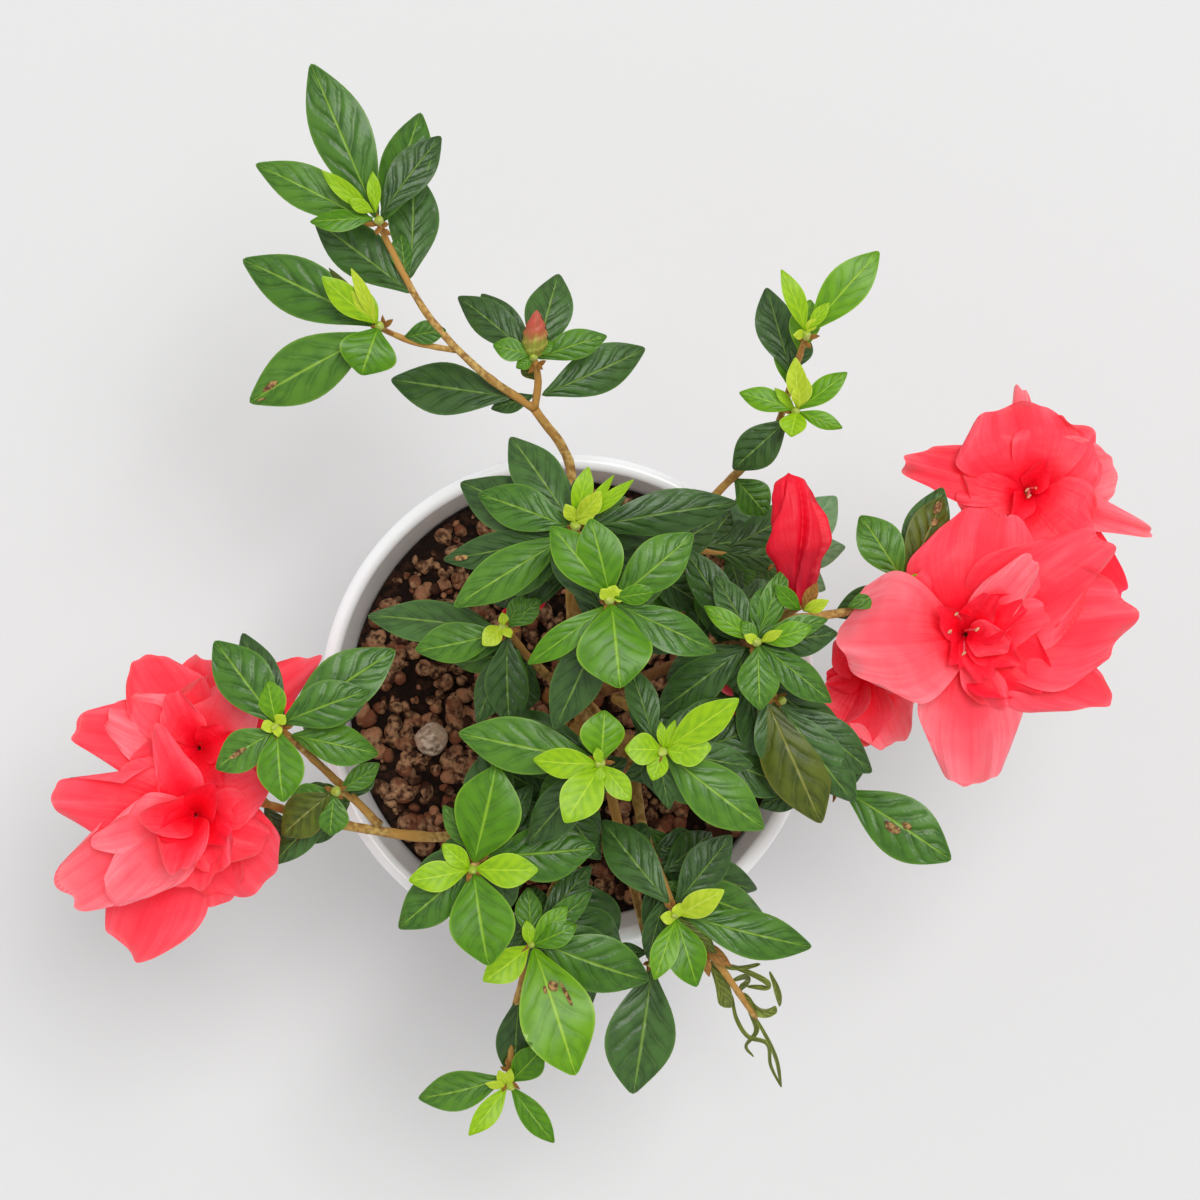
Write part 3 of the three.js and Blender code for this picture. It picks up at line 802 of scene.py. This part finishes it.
def growLeaf(tint, foot, bearing, reach, width, age, rng):
    # returns a function of (across -1 to 1, along 0 to 1) that gives a place on the leaf's upper face
    habit = leafAges[age]
    lift = math.radians(habit["lift"] + rng.uniform(-7, 7))
    drop = math.radians(habit["tip"] + rng.uniform(-12, 8))
    roll, twist = math.radians(rng.uniform(-13, 13)), math.radians(rng.uniform(-16, 16))
    fold, arch = habit["fold"] * rng.uniform(0.5, 1.4), habit["arch"] * rng.uniform(0.6, 1.3)
    sway, wave, phase = rng.uniform(-0.07, 0.07), rng.uniform(0.03, 0.1), rng.uniform(0, 6)
    lop = rng.uniform(-0.05, 0.05)
    arc = archOf(lift, drop, reach)
    way, across = bearingWay(bearing), bearingWay(bearing + 90)

    def onLeaf(x, v, side=1):
        along = 1 - (1 - v) ** 1.22
        far, high, slope = arc(along)
        blade = width / 2 * leafWidth(along) * (1 + lop * x)
        half = max(leafShape["stalkRadius"] * (1 - v), blade) if 0 < v < 1 else 0
        body = clamp(blade / 2)
        lean = roll + twist * along
        tilted, face = leaned(across, Vector((0, 0, 1)) * math.cos(slope) - way * math.sin(slope), lean)
        height = half * (fold * abs(x) - arch * x * x) * body
        height += half * wave * math.sin(10 * along + phase + x) * x * x * body
        skin = (leafShape["thickness"] + leafShape["stalkRadius"] * (1 - body) * 0.8) * (1 - x * x)
        skin *= 0 if v in (0, 1) else 1
        place = way * far + across * (sway * reach * along ** 2) + Vector((0, 0, high))
        return foot + (place + tilted * (half * x) + face * (height + side * skin)) * mm

    def leafPoint(u, v):
        x, side = bladeSide(u)
        return onLeaf(x, v, side)

    addSheet(leafLots[tint], leafShape["columns"], leafShape["rows"], leafPoint, rims=(0, 0.5, 1))
    return onLeaf


def onStem(name, down):
    # the place that lies a distance below the stem's end
    path = routes[name]
    left = down * mm
    if left <= 0:
        return path[-1] - (path[-1] - path[-2]).normalized() * left
    for a, b in zip(path[::-1], path[-2::-1]):
        step = (b - a).length
        if left <= step:
            return a.lerp(b, left / step)
        left -= step
    return path[0]


def leafFinish(name, look):
    top, deep, vein, margin, under = (linear(code) for code in look[:5])
    rough, puff = look[5:]
    material, shader, start = newFinish("leaf_" + name, Roughness=rough, Specular_IOR_Level=0.36)
    place = ownMap(start)
    u, v = place.part("X"), place.part("Y")
    off = abs((u * 2).fract() * 2 - 1)  # 0 on the midrib, 1 at the margin
    below = u.above(0.5)
    wobble = place.noise(7, 2)
    step = (v * 6.1 - off * 1.6 + off ** 2 * 0.1 + wobble * 0.5).fract()
    away = abs(step - 0.5) * 2  # 0 on a side vein, 1 halfway to the next
    side = away.fall(0.0, 0.8) * off.fall(0.7, 1.0)
    line = away.fall(0.0, 0.14) * off.fall(0.55, 0.9)
    rib = off.fall(0.0, 0.075)
    net = place.stretched(1.8, 1, 1).cells(30)
    cloud = place.noise(6, 3)
    # the upper side darkens at random, and also as painted shade along the impressed side veins (side * 0.2)
    base = (cloud + side * 0.2 - 0.05).fall(0.3, 0.75).blend(deep, top)
    base = (line * 0.16).blend(base, vein)
    base = (rib * 0.72).blend(base, vein)
    base = ((1 - off.fall(0.9, 1.0)) * 0.4).blend(base, margin)
    low = (side * 0.3 + rib * 0.5).blend(under, margin)
    feed(shader, "Base Color", below.blend(base, low))
    quilt = (1 - side ** 1.5) - rib * 0.7 + net * 0.12 + cloud * 0.3
    relief(shader, quilt * (1 - below * 1.5), puff, 0.8)
    return material


def growBud(tint, foot, way, length, width, rng):
    # a pointed bud of overlapping scales
    side = way.orthogonal().normalized()
    other = way.cross(side)
    turn = rng.random() * 6

    def budPoint(u, v):
        angle = 2 * math.pi * u
        radius = width / 2 * math.sin(math.pi * clamp(v) ** 0.75) ** 0.8 if 0 < v < 1 else 0
        radius *= 1 + 0.12 * math.cos(3 * angle + turn + 4 * v)
        out = side * math.cos(angle) + other * math.sin(angle)
        return foot + (way * (length * v) + out * radius) * mm

    addSheet(leafLots[tint], 9, 8, budPoint)


underShape = {  # the older leaves lower on a shoot, in millimetres, or in shares of the leaf above
    "beyondRim": 3, "above": 15, "manyAbove": 24, "step": (7, 13), "deepest": 34,
    "share": (0.7, 0.9), "lessEach": 0.1, "width": (0.75, 0.95), "shortest": 9, "longest": 34, "turn": 9,
    "tints": ("dark", "dark_b", "mature", "dark"),
}


def growUnderLeaves(node, stem, placed, rng):
    # each hangs under a leaf of the whorl and stays inside the crown's outline
    heart = onStem(stem, 0)
    if Vector((heart.x, heart.y)).length > (potShape["rim"] + underShape["beyondRim"]) * mm:
        return
    for bearing, reach, width, drop in placed:
        if reach < underShape["above"]:
            continue
        for layer in range(3 if reach > underShape["manyAbove"] else 2):
            down = drop + rng.uniform(*underShape["step"]) * (layer + 1)
            foot = onStem(stem, min(down, underShape["deepest"]))
            offset = (foot - onStem(stem, drop)) / mm
            share = rng.uniform(*underShape["share"]) - underShape["lessEach"] * layer
            want = bearingWay(bearing) * (reach * share) - Vector((offset.x, offset.y, 0)) * 0.8
            if want.length < underShape["shortest"]:
                continue
            turned = math.degrees(math.atan2(want.y, want.x))
            turned += rng.uniform(-underShape["turn"], underShape["turn"])
            tint = rng.choice(underShape["tints"])
            length = min(want.length, underShape["longest"])
            growLeaf(tint, foot, turned, length, width * rng.uniform(*underShape["width"]), "under", rng)
            leafHomes[tint].add(node)


lowLeaves = [  # whorl, stem, distance down the stem, tint, bearing, reach, width
    ("foliage_east", "bough_east_bloom", 3, "dark", 291, 45, 14),
    ("foliage_west_low", "bough_west", 10, "dark", 242, 48, 13),
    ("foliage_west_low", "bough_west", 17, "dark", 298, 17, 9),
    ("foliage_west", "bough_west_rosette", 19, "grey", 62, 17, 13),
    ("foliage_northeast_side", "bough_northeast", 57, "mature", 316, 15, 11),
    ("foliage_northeast_side", "bough_northeast", 22, "bright", 96, 17, 7),
    ("foliage_north", "bough_northwest", 68, "dark", 172, 38, 16),
    ("foliage_low_south", "bough_low_south", 27, "dark", 264, 27, 12),
    ("foliage_southeast", "shoot_shrivelled", 34, "rust", 62, 11, 5),
    ("foliage_southeast", "shoot_shrivelled", 34, "rust", 322, 14, 4),
    ("foliage_southeast", "shoot_shrivelled", 31, "rust", 286, 10, 3),
]
marks = {  # dead or torn patches: whorl and bearing of the leaf, then across, along, length and width in mm
    ("foliage_northwest_side", 207): [(-0.15, 0.74, 7.0, 2.6), (0.3, 0.84, 4.2, 1.6)],
    ("foliage_south", 291): [(0.0, 0.5, 9.0, 1.2), (0.45, 0.36, 8.0, 1.4), (0.2, 0.3, 3.0, 4.0),
                             (-0.1, 0.3, 2.4, 1.6)],
    ("foliage_west", 209): [(0.0, 0.55, 7.0, 1.6)],
    ("foliage_southeast_outer", 330): [(-0.2, 0.42, 5.5, 3.0), (0.1, 0.5, 3.5, 2.0)],
    ("foliage_east", 66): [(0.1, 0.8, 6.0, 4.5), (-0.1, 0.62, 3.0, 2.2)],
    ("foliage_north_centre", 194): [(0.1, 0.78, 6.0, 3.2)],
}


def markLeaf(bm, onLeaf, reach, width, mark, rng):
    across, along, length, breadth = mark
    seed = rng.random() * 9

    def markPoint(u, v):
        angle = 2 * math.pi * u
        ring = 1 - abs(2 * v - 1)
        ragged = 1 + 0.45 * noise.noise(Vector((math.cos(angle) * 1.4, math.sin(angle) * 1.4, seed)))
        x = across + ring * ragged * math.sin(angle) * breadth / width
        share = along + ring * ragged * math.cos(angle) * length / 2 / reach
        skin = 0.12 if v < 0.5 else -0.15
        rise = Vector((0, 0, skin * (1 - ring ** 3) * mm))
        return onLeaf(clamp(x, -0.97, 0.97), clamp(share, 0.05, 0.97)) + rise

    addSheet(bm, 14, 8, markPoint)


heartShape = {  # the bracts and the bud at a shoot's end, in millimetres
    "bracts": 5, "apart": 73, "stray": 40, "down": (0.5, 4), "reach": (2.5, 4.5), "width": (1.2, 1.8),
    "sunk": 1.2, "tilt": 0.3, "bud": (4, 6), "budWidth": (2.4, 3.4),
    "secondTint": 0.4,  # the share of leaves that take the second tint of their age
}


def growHeart(stem, rng):
    tilt = heartShape["tilt"]
    for i in range(heartShape["bracts"]):
        foot = onStem(stem, rng.uniform(*heartShape["down"]))
        bearing = i * heartShape["apart"] + rng.uniform(0, heartShape["stray"])
        reach, width = rng.uniform(*heartShape["reach"]), rng.uniform(*heartShape["width"])
        growLeaf("rust", foot, bearing, reach, width, "pale", rng)
    foot = onStem(stem, 0) - Vector((0, 0, heartShape["sunk"] * mm))
    way = Vector((rng.uniform(-tilt, tilt), rng.uniform(-tilt, tilt), 1))
    length, width = rng.uniform(*heartShape["bud"]), rng.uniform(*heartShape["budWidth"])
    growBud("bud", foot, way, length, width, rng)


def growWhorls(spots):
    rng = random.Random(11)
    for node, (stem, ages) in whorls.items():
        placed = []
        for tint, leaves in ages.items():
            age = tint.split("_")[0]
            for bearing, reach, width, *down in leaves:
                drop = down[0] if down else leafAges[age]["down"]
                shade = tint
                if tint + "_b" in leafTints and rng.random() < heartShape["secondTint"]:
                    shade = tint + "_b"
                onLeaf = growLeaf(shade, onStem(stem, drop), bearing, reach, width, age, rng)
                leafHomes[shade].add(node)
                placed.append((bearing, reach, width, drop))
                for mark in marks.get((node, bearing), ()):
                    markLeaf(spots, onLeaf, reach, width, mark, rng)
        growHeart(stem, rng)
        leafHomes["rust"].add(node)
        leafHomes["bud"].add(node)
        growUnderLeaves(node, stem, placed, rng)
    for node, stem, down, tint, bearing, reach, width in lowLeaves:
        growLeaf(tint, onStem(stem, down), bearing, reach, width, tint, rng)
        leafHomes[tint].add(node)


def makeLeaves(spots):
    for tint, bm in leafLots.items():
        finish = leafFinish(tint, leafTints[tint])
        finishPiece("leaves_" + tint, bm, finish, sorted(leafHomes[tint]), levels=1)
    material, shader, start = newFinish("dead_patch", Roughness=0.8)
    place = objectPlace(start)
    grain = place.noise(900, 3)
    feed(shader, "Base Color", grain.fall(0.35, 0.65).blend(linear("B08A52"), linear("5E3A1C")))
    relief(shader, grain, 0.0003)
    nodes = sorted({node for node, bearing in marks})
    finishPiece("leaf_patches", spots, material, nodes, levels=1)


patches = newPiece()
growWhorls(patches)
print("leaves grown")


# blooms: funnels of broad ruffled petals, with smaller ones crowding the red throat

petalShape = {"columns": 24, "rows": 12, "thickness": 0.22, "small": 19}
petalTints = {  # rim, body, throat, back
    "coral": ("FF5666", "FF1E38", "EC0020", "FF3A4E"),
    "rose": ("FF8690", "FF4254", "F40C28", "FF5E6E"),
    "red": ("FF2840", "F80824", "D80018", "F8142E"),
}
blooms = {  # node: foot in millimetres, then its petals as (tint, bearing, reach, width, slope of the tip,
    # height of the foot) and, where a petal is pointed, how much
    "bloom_east_lower": ((112, 21, 189), [
        ("rose", 189, 35, 37, -20, 5), ("coral", 88, 35, 38, -4, 2), ("coral", 32, 47, 33, -4, 0, 0.4),
        ("coral", 3, 47, 36, -8, 1), ("coral", 342, 46, 27, -14, -1, 0.5), ("rose", 273, 43, 29, -24, 1),
        ("coral", 130, 22, 26, 0, -1), ("red", 318, 25, 24, -6, 5), ("coral", 300, 22, 15, 0, 6),
        ("rose", 52, 27, 13, 16, 5), ("coral", 10, 22, 16, 14, 6), ("red", 30, 17, 15, 20, 7),
        ("red", 60, 12, 12, 42, 6), ("red", 240, 9, 10, 46, 5), ("red", 140, 10, 11, 44, 5),
        ("red", 335, 15, 14, 22, 7), ("red", 290, 13, 11, 32, 6), ("coral", 350, 11, 12, 40, 8),
    ]),
    "bloom_east_upper": ((131, 61, 181), [
        ("coral", 163, 36, 17, -8, -1), ("coral", 98, 25, 38, -8, 3), ("coral", 55, 24, 28, -8, 2),
        ("coral", 135, 22, 24, -6, 2), ("rose", 97, 30, 9, -4, -3), ("rose", 14, 26, 26, -12, -2),
        ("rose", 342, 38, 13, -14, -5, 0.6), ("red", 315, 41, 17, -18, -7), ("coral", 270, 21, 36, -6, 1),
        ("coral", 225, 22, 28, -6, 0), ("coral", 322, 21, 26, -2, 2), ("coral", 185, 20, 22, -4, 1),
        ("red", 70, 9, 9, 40, 3), ("red", 230, 8, 9, 42, 3),
    ]),
    "bloom_east_third": ((85, 9, 172), [
        ("coral", 262, 21, 22, -18, 0), ("rose", 295, 22, 20, -18, -1), ("coral", 232, 16, 17, -16, 0),
        ("coral", 20, 12, 16, -10, 0), ("coral", 120, 12, 15, -4, 1), ("red", 190, 10, 11, -6, 2),
    ]),
    "foliage_inner_east": ((51, 4, 188), [
        ("coral", 252, 10, 12, -2, 0), ("coral", 300, 11, 12, -4, 1), ("rose", 128, 14, 10, -2, 1),
        ("red", 20, 9, 11, 0, 1),
    ]),
    "foliage_west_centre": ((-11, 27, 184), [("red", 75, 8, 9, 10, 0), ("red", 190, 7, 8, 14, 1)]),
    "bloom_west_lower": ((-106, -31, 168), [
        ("coral", 164, 41, 29, -6, 4, 0.6), ("rose", 209, 45, 30, -14, 2, 0.4),
        ("coral", 237, 46, 31, -22, -3), ("coral", 305, 27, 32, -14, 1), ("coral", 275, 26, 24, -16, -1),
        ("rose", 219, 33, 24, -2, 7, 0.5),
        ("rose", 188, 29, 20, 2, 7, 0.5), ("coral", 262, 20, 20, 6, 7), ("coral", 352, 21, 21, -2, 5),
        ("coral", 32, 22, 19, -4, 4), ("coral", 114, 28, 14, 4, 6, 0.5), ("coral", 140, 24, 20, 0, 3),
        ("coral", 300, 17, 18, 14, 8), ("coral", 268, 14, 17, 54, 9), ("coral", 172, 12, 15, 56, 9),
        ("red", 60, 11, 13, 54, 8), ("red", 330, 12, 13, 50, 8), ("red", 215, 9, 11, 60, 9),
    ]),
    "bloom_west_upper": ((-106, -12, 161), [
        ("coral", 120, 31, 24, -8, 2), ("coral", 96, 26, 23, -6, 1), ("coral", 172, 37, 29, -8, 0, 0.6),
        ("rose", 150, 27, 24, -4, 3), ("rose", 70, 21, 28, -4, 4), ("coral", 330, 20, 21, -4, 3),
        ("coral", 38, 43, 25, -8, -4, 0.7), ("coral", 15, 22, 22, -6, 1), ("coral", 110, 17, 15, 20, 6),
        ("coral", 200, 19, 18, 12, 5), ("red", 300, 12, 13, 38, 7), ("red", 20, 11, 13, 42, 7),
    ]),
}
stamens = {  # the radius, an anther's half length and radius, then for each bloom the count and the lengths
    "radius": 0.35, "anther": (0.85, 0.48),
    "bloom_east_lower": (4, 14, 18), "bloom_east_upper": (3, 5, 8), "bloom_west_lower": (3, 7, 11),
}
petalLots = {tint: newPiece(True) for tint in petalTints}
petalHomes = {tint: set() for tint in petalTints}


def growPetal(tint, foot, bearing, reach, width, tip, point, rng):
    lift, tip = math.radians(rng.uniform(66, 74)), math.radians(tip + rng.uniform(-5, 5))
    roll, sway = math.radians(rng.uniform(-12, 12)), rng.uniform(-0.12, 0.12)
    small = reach < petalShape["small"]  # the small inner petals are folded lengthwise
    cup = rng.uniform(0.5, 1.0) if small else rng.uniform(0.0, 0.14)
    width *= 0.85 if small else 1
    ruffle = rng.uniform(0.09, 0.16)
    waves, phase, late, turn = rng.uniform(1.2, 2.2), rng.uniform(0, 6), rng.uniform(0, 6), rng.uniform(0, 6)
    way, across = bearingWay(bearing), bearingWay(bearing + 90)
    arc = archOf(lift, tip, reach, quick=3.2)

    def petalPoint(u, v):
        x, side = bladeSide(u)
        spread = 0.17 + 0.83 * math.sin(math.pi / 2 * clamp(v / 0.72)) ** 1.25
        spread *= 1 - (0.2 + 0.25 * point) * clamp((v - 0.66) / 0.34) ** 2
        half = width / 2 * spread * (1 + 0.05 * math.sin(9 * v + turn) * v)
        rim = 1 - (0.3 + 0.2 * point) * abs(x) ** mixed(2.5, 1.3, point)
        rim += 0.045 * math.sin(waves * 4 * x + turn) + 0.014 * math.sin(13 * x + phase)
        far, high, slope = arc(v * rim)
        tilted, face = leaned(across, Vector((0, 0, 1)) * math.cos(slope) - way * math.sin(slope), roll)
        edge = max(abs(x) ** 3 * v ** 1.5, v ** 4)
        height = half * cup * x * x * (1 - v * 0.5)
        height += width * ruffle * edge * math.sin(waves * math.pi * x + phase)
        height += width * ruffle * 0.9 * x * abs(x) * v * math.sin(6.5 * v + late)
        height += width * 0.014 * math.sin(x * 9 + phase) * v
        skin = petalShape["thickness"] * (1 - x ** 6) * (1 - v ** 10) * (1 if v else 0)
        if v == 0:
            half, height = 0, 0
        place = way * far + across * (sway * reach * v * v) + Vector((0, 0, high))
        return foot + (place + tilted * (half * x) + face * (height + side * skin)) * mm

    columns, rows = petalShape["columns"], petalShape["rows"]
    addSheet(petalLots[tint], columns, rows, petalPoint, rims=(0, 0.5, 1), front=True)


def petalFinish(name, look):
    rim, body, throat, back = (linear(code) for code in look)
    # the faint red emission is a painted glow that stands in for light shining through the petals; the
    # stamens and the furled bud share this finish, so they glow too
    material, shader, start = newFinish(
        "petal_" + name, Roughness=0.48, Specular_IOR_Level=0.3, Subsurface_Weight=0.15,
        Subsurface_Scale=0.003, Emission_Strength=0.06, Emission_Color=linear("FF1030"))
    shader.inputs["Subsurface Radius"].default_value = (1.0, 0.25, 0.2)
    place = ownMap(start)
    u, v = place.part("X"), place.part("Y")
    off = abs((u * 2).fract() * 2 - 1)
    below = u.above(0.5)
    streak = place.stretched(46, 1.6, 1).noise(1, 3)
    cloud = place.noise(5, 2)
    base = (v + cloud * 0.3).fall(0.3, 0.75).blend(body, throat)
    base = (off * 0.4 + v * 0.9 + cloud * 0.4).fall(0.6, 1.35).blend(rim, base)
    base = (streak.fall(0.4, 0.55) * 0.3).blend(base, body)
    feed(shader, "Base Color", below.blend(base, v.fall(0.1, 0.5).blend(back, throat)))
    relief(shader, streak * 0.8 + cloud * 2, 0.0006, 0.5)
    return material


def growCup(bm, foot):
    # the green five-toothed cup that holds a flower
    def cupPoint(u, v):
        angle = 2 * math.pi * u
        ring = 1 - abs(2 * v - 1)
        radius = (0.4 + 3.2 * ring ** 0.7 + 0.5 * ring * math.cos(5 * angle)) * (1 if v < 0.5 else 0.86)
        if v in (0, 1):
            radius = 0
        height = -3.5 + ring * (5 + 1.4 * math.cos(5 * angle)) + (0 if v < 0.5 else 0.4 * (1 - ring))
        return foot + Vector((radius * math.cos(angle), radius * math.sin(angle), height)) * mm

    addSheet(bm, 30, 10, cupPoint)


def makeBlooms():
    rng = random.Random(23)
    cups, threads, anthers = newPiece(True), newPiece(True), newPiece()
    for node, (throat, petals) in blooms.items():
        middle = Vector(throat) * mm
        growCup(cups, middle)
        for tint, bearing, reach, width, tip, raised, *point in petals:
            foot = middle + Vector((0, 0, raised * mm)) + bearingWay(bearing) * 0.8 * mm
            growPetal(tint, foot, bearing, reach, width, tip, sum(point), rng)
            petalHomes[tint].add(node)
        count, shortest, longest = stamens.get(node, (0, 0, 0))
        for i in range(count):
            way = (bearingWay(i * 137 + 120) * rng.uniform(0.1, 0.45) + Vector((0, 0, 1))).normalized()
            end = middle + way * rng.uniform(shortest, longest) * mm
            bend = (middle + end) / 2 + bearingWay(i * 80) * 1.2 * mm
            route = [place / mm for place in (middle, bend, end)]
            growStem(threads, f"stamen_{i}", route, (stamens["radius"],) * 2, rng)
            growGrain(anthers, end, way)
    for tint, bm in petalLots.items():
        finishPiece("petals_" + tint, bm, petalFinish(tint, petalTints[tint]),
                    sorted(petalHomes[tint]), levels=1)
    nodes = sorted(blooms)
    finishPiece("flower_cups", cups, leafFinish("cup", leafTints["bright"]), nodes, levels=1)
    finish = petalFinish("stamen", ("F2707E", "E0485A", "C02038", "E8606E"))
    finishPiece("stamens", threads, finish, nodes)
    material, shader, start = newFinish("anther", Roughness=0.7)
    place = objectPlace(start)
    feed(shader, "Base Color", place.noise(1500, 2).blend(linear("E8B890"), linear("B8805C")))
    finishPiece("anthers", anthers, material, nodes, levels=1)


def growGrain(bm, middle, way):
    length, radius = stamens["anther"]
    side = way.orthogonal().normalized()
    other = way.cross(side)

    def grainPoint(u, v):
        angle, along = 2 * math.pi * u, math.pi * v
        out = (other * math.cos(angle) + way * math.sin(angle)) * math.sin(along) * radius
        return middle + (out * (1 if 0 < v < 1 else 0) - side * math.cos(along) * length) * mm

    addSheet(bm, 7, 6, grainPoint)


makeBlooms()
print("blooms made")


# the closed flower bud: petals still furled round each other, between two bracts

furled = {
    "bearing": 97, "reach": 37, "width": 18, "lift": 6, "columns": 84, "rows": 34, "petals": 5, "twist": 1.3,
    "bracts": [(60, 9, 4, "rust"), (140, 11, 5, "bright"), (20, 8, 4, "pale")],
    "girth": [(0, 0.3), (0.12, 0.48), (0.3, 0.7), (0.46, 1.0), (0.6, 0.9), (0.8, 0.64), (0.93, 0.48),
              (1, 0.0)],
}


def eased(table, at):
    # a smooth line through (place, value) pairs
    for (a, low), (b, high) in zip(table, table[1:]):
        if at <= b:
            share = (at - a) / (b - a)
            return mixed(low, high, share * share * (3 - 2 * share))
    return table[-1][1]


def makeFurledBud():
    bm = newPiece(True)
    foot = Vector(routes["bough_bud"][-1])
    lift = math.radians(furled["lift"])
    side = bearingWay(furled["bearing"] - 90)
    way = bearingWay(furled["bearing"]) * math.cos(lift) + Vector((0, 0, math.sin(lift)))
    up = side.cross(way)

    def budPoint(u, v):
        angle = 2 * math.pi * u
        along = 1 - (1 - v) ** 1.15
        girth = eased(furled["girth"], along)
        turn = (furled["petals"] * u + furled["twist"] * along + 0.25 * math.sin(angle)) % 1
        wrap = 0.6 + 0.5 * turn ** 0.7 - 0.2 * math.exp(-(turn / 0.09) ** 2)
        crease = 0.05 * math.sin(13 * along + 3 * angle) + 0.04 * math.sin(7 * angle + 5 * along)
        radius = furled["width"] / 2 * girth * (wrap + crease) if 0 < v < 1 else 0
        out = side * math.cos(angle) + up * math.sin(angle) * 0.8
        bow = side * (1.5 * math.sin(2.6 * along))
        return foot + (way * furled["reach"] * along + bow + out * radius) * mm

    addSheet(bm, furled["columns"], furled["rows"], budPoint)
    for bearing, reach, width, tint in furled["bracts"]:
        growLeaf(tint, foot - way * 1.5 * mm, bearing, reach, width, "pale", random.Random(bearing))
    finishPiece("bud_furled", bm, petalFinish("bud", ("EE1230", "DC0826", "A80420", "C80E28")),
                ["flower_bud_east"], levels=1)


scaly = {"bearing": 86, "length": 15, "radius": 3.7, "sunk": 1, "columns": 40, "rows": 30}


def makeScalyBud():
    # a fat scaly flower bud that still shows only its tip
    bm = newPiece(True)
    foot = Vector(routes["bough_north_bud"][-1]) - Vector((0, 0, scaly["sunk"] * mm))
    way = (bearingWay(scaly["bearing"]) * 0.86 + Vector((0, 0, 0.5))).normalized()
    side = bearingWay(scaly["bearing"] - 90)
    up = side.cross(way)

    def scalePoint(u, v):
        angle = 2 * math.pi * u
        radius = scaly["radius"] * math.sin(math.pi * v ** 0.7) ** 0.8 if 0 < v < 1 else 0
        step = (5 * v + 2.5 * u) % 1
        radius *= 0.9 + 0.16 * step
        out = side * math.cos(angle) + up * math.sin(angle)
        return foot + (way * scaly["length"] * v + out * radius) * mm

    addSheet(bm, scaly["columns"], scaly["rows"], scalePoint)
    material, shader, start = newFinish("scaly_bud", Roughness=0.45)
    place = ownMap(start)
    along, grain = place.part("Y"), place.stretched(30, 3, 1).noise(1, 2)
    base = (along + grain * 0.3).fall(0.5, 0.85).blend(linear("C4503E"), linear("9DA83C"))
    feed(shader, "Base Color", (grain.fall(0.6, 0.4) * 0.4).blend(base, linear("8A5A2A")))
    relief(shader, grain, 0.0004, 0.5)
    finishPiece("bud_scaly", bm, material, ["foliage_north"], levels=1)


makeFurledBud()
makeScalyBud()
makeLeaves(patches)
print("buds and leaves finished")


# the dried shoot: shrivelled leaves hang on it as thin curled ribbons

ribbons = [  # width, then the route in millimetres
    (1.7, [(54, -89, 168), (59, -97.6, 164), (61.7, -104.4, 158), (63, -113, 149.5)]),
    (1.7, [(63, -113, 150), (59.4, -106, 152), (58.2, -99.3, 156), (52.4, -96.7, 160), (48.9, -90.7, 163),
           (47.7, -83, 168)]),
    (2.2, [(43.8, -73.7, 174), (50.6, -76.2, 172), (58.3, -80.5, 170), (51.5, -81, 168)]),
    (2.0, [(58.3, -75.8, 172), (60.5, -80.5, 169), (61.7, -87.5, 163)]),
    (5.0, [(40.4, -72.5, 176), (43.8, -80.5, 172), (47.2, -87.5, 165)]),
    (4.2, [(49.8, -82.2, 172), (55.8, -87.3, 169), (61, -88, 165)]),
    (2.0, [(42.1, -72.7, 177), (48.1, -74.5, 174), (56, -74.1, 171)]),
    (2.2, [(47, -79, 174), (52, -79, 165), (50, -84, 157)]),
    (1.8, [(52, -86, 169), (55, -94, 160), (52, -100, 154), (55, -104, 150)]),
]


def makeRibbons():
    rng = random.Random(3)
    bm = newPiece(True)
    for wide, route in ribbons:
        rows = 6 * len(route)
        path = evenRoute([Vector(point) * mm for point in route], rows)[0]
        turns, phase = rng.uniform(2, 4), rng.uniform(0, 6)

        def ribbonPoint(u, v):
            x, side = bladeSide(u)
            i = round(v * rows)
            way = (path[min(i + 1, rows)] - path[max(i - 1, 0)]).normalized()
            across = way.cross(Vector((0, 0, 1))).normalized()
            up = across.cross(way)
            tilted, face = leaned(across, up, 0.9 * math.sin(turns * v + phase))
            half = wide / 2 * math.sin(math.pi * (v * 0.94 + 0.03)) ** 0.6 if 0 < v < 1 else 0
            curl = half * 0.7 * x * x
            skin = 0.25 * (1 - x * x) * (1 if 0 < v < 1 else 0)
            return path[i] + (tilted * half * x + face * (curl + side * skin)) * mm

        addSheet(bm, 8, rows, ribbonPoint, rims=(0, 0.5, 1))
    finish = leafFinish("shrivelled", ("84943C", "5E6C26", "B0AC5A", "A0944A", "8C944A", 0.6, 0.0003))
    finishPiece("shrivelled_leaves", bm, finish, ["shoot_shrivelled"], levels=1)


makeRibbons()
print("dried shoot made")
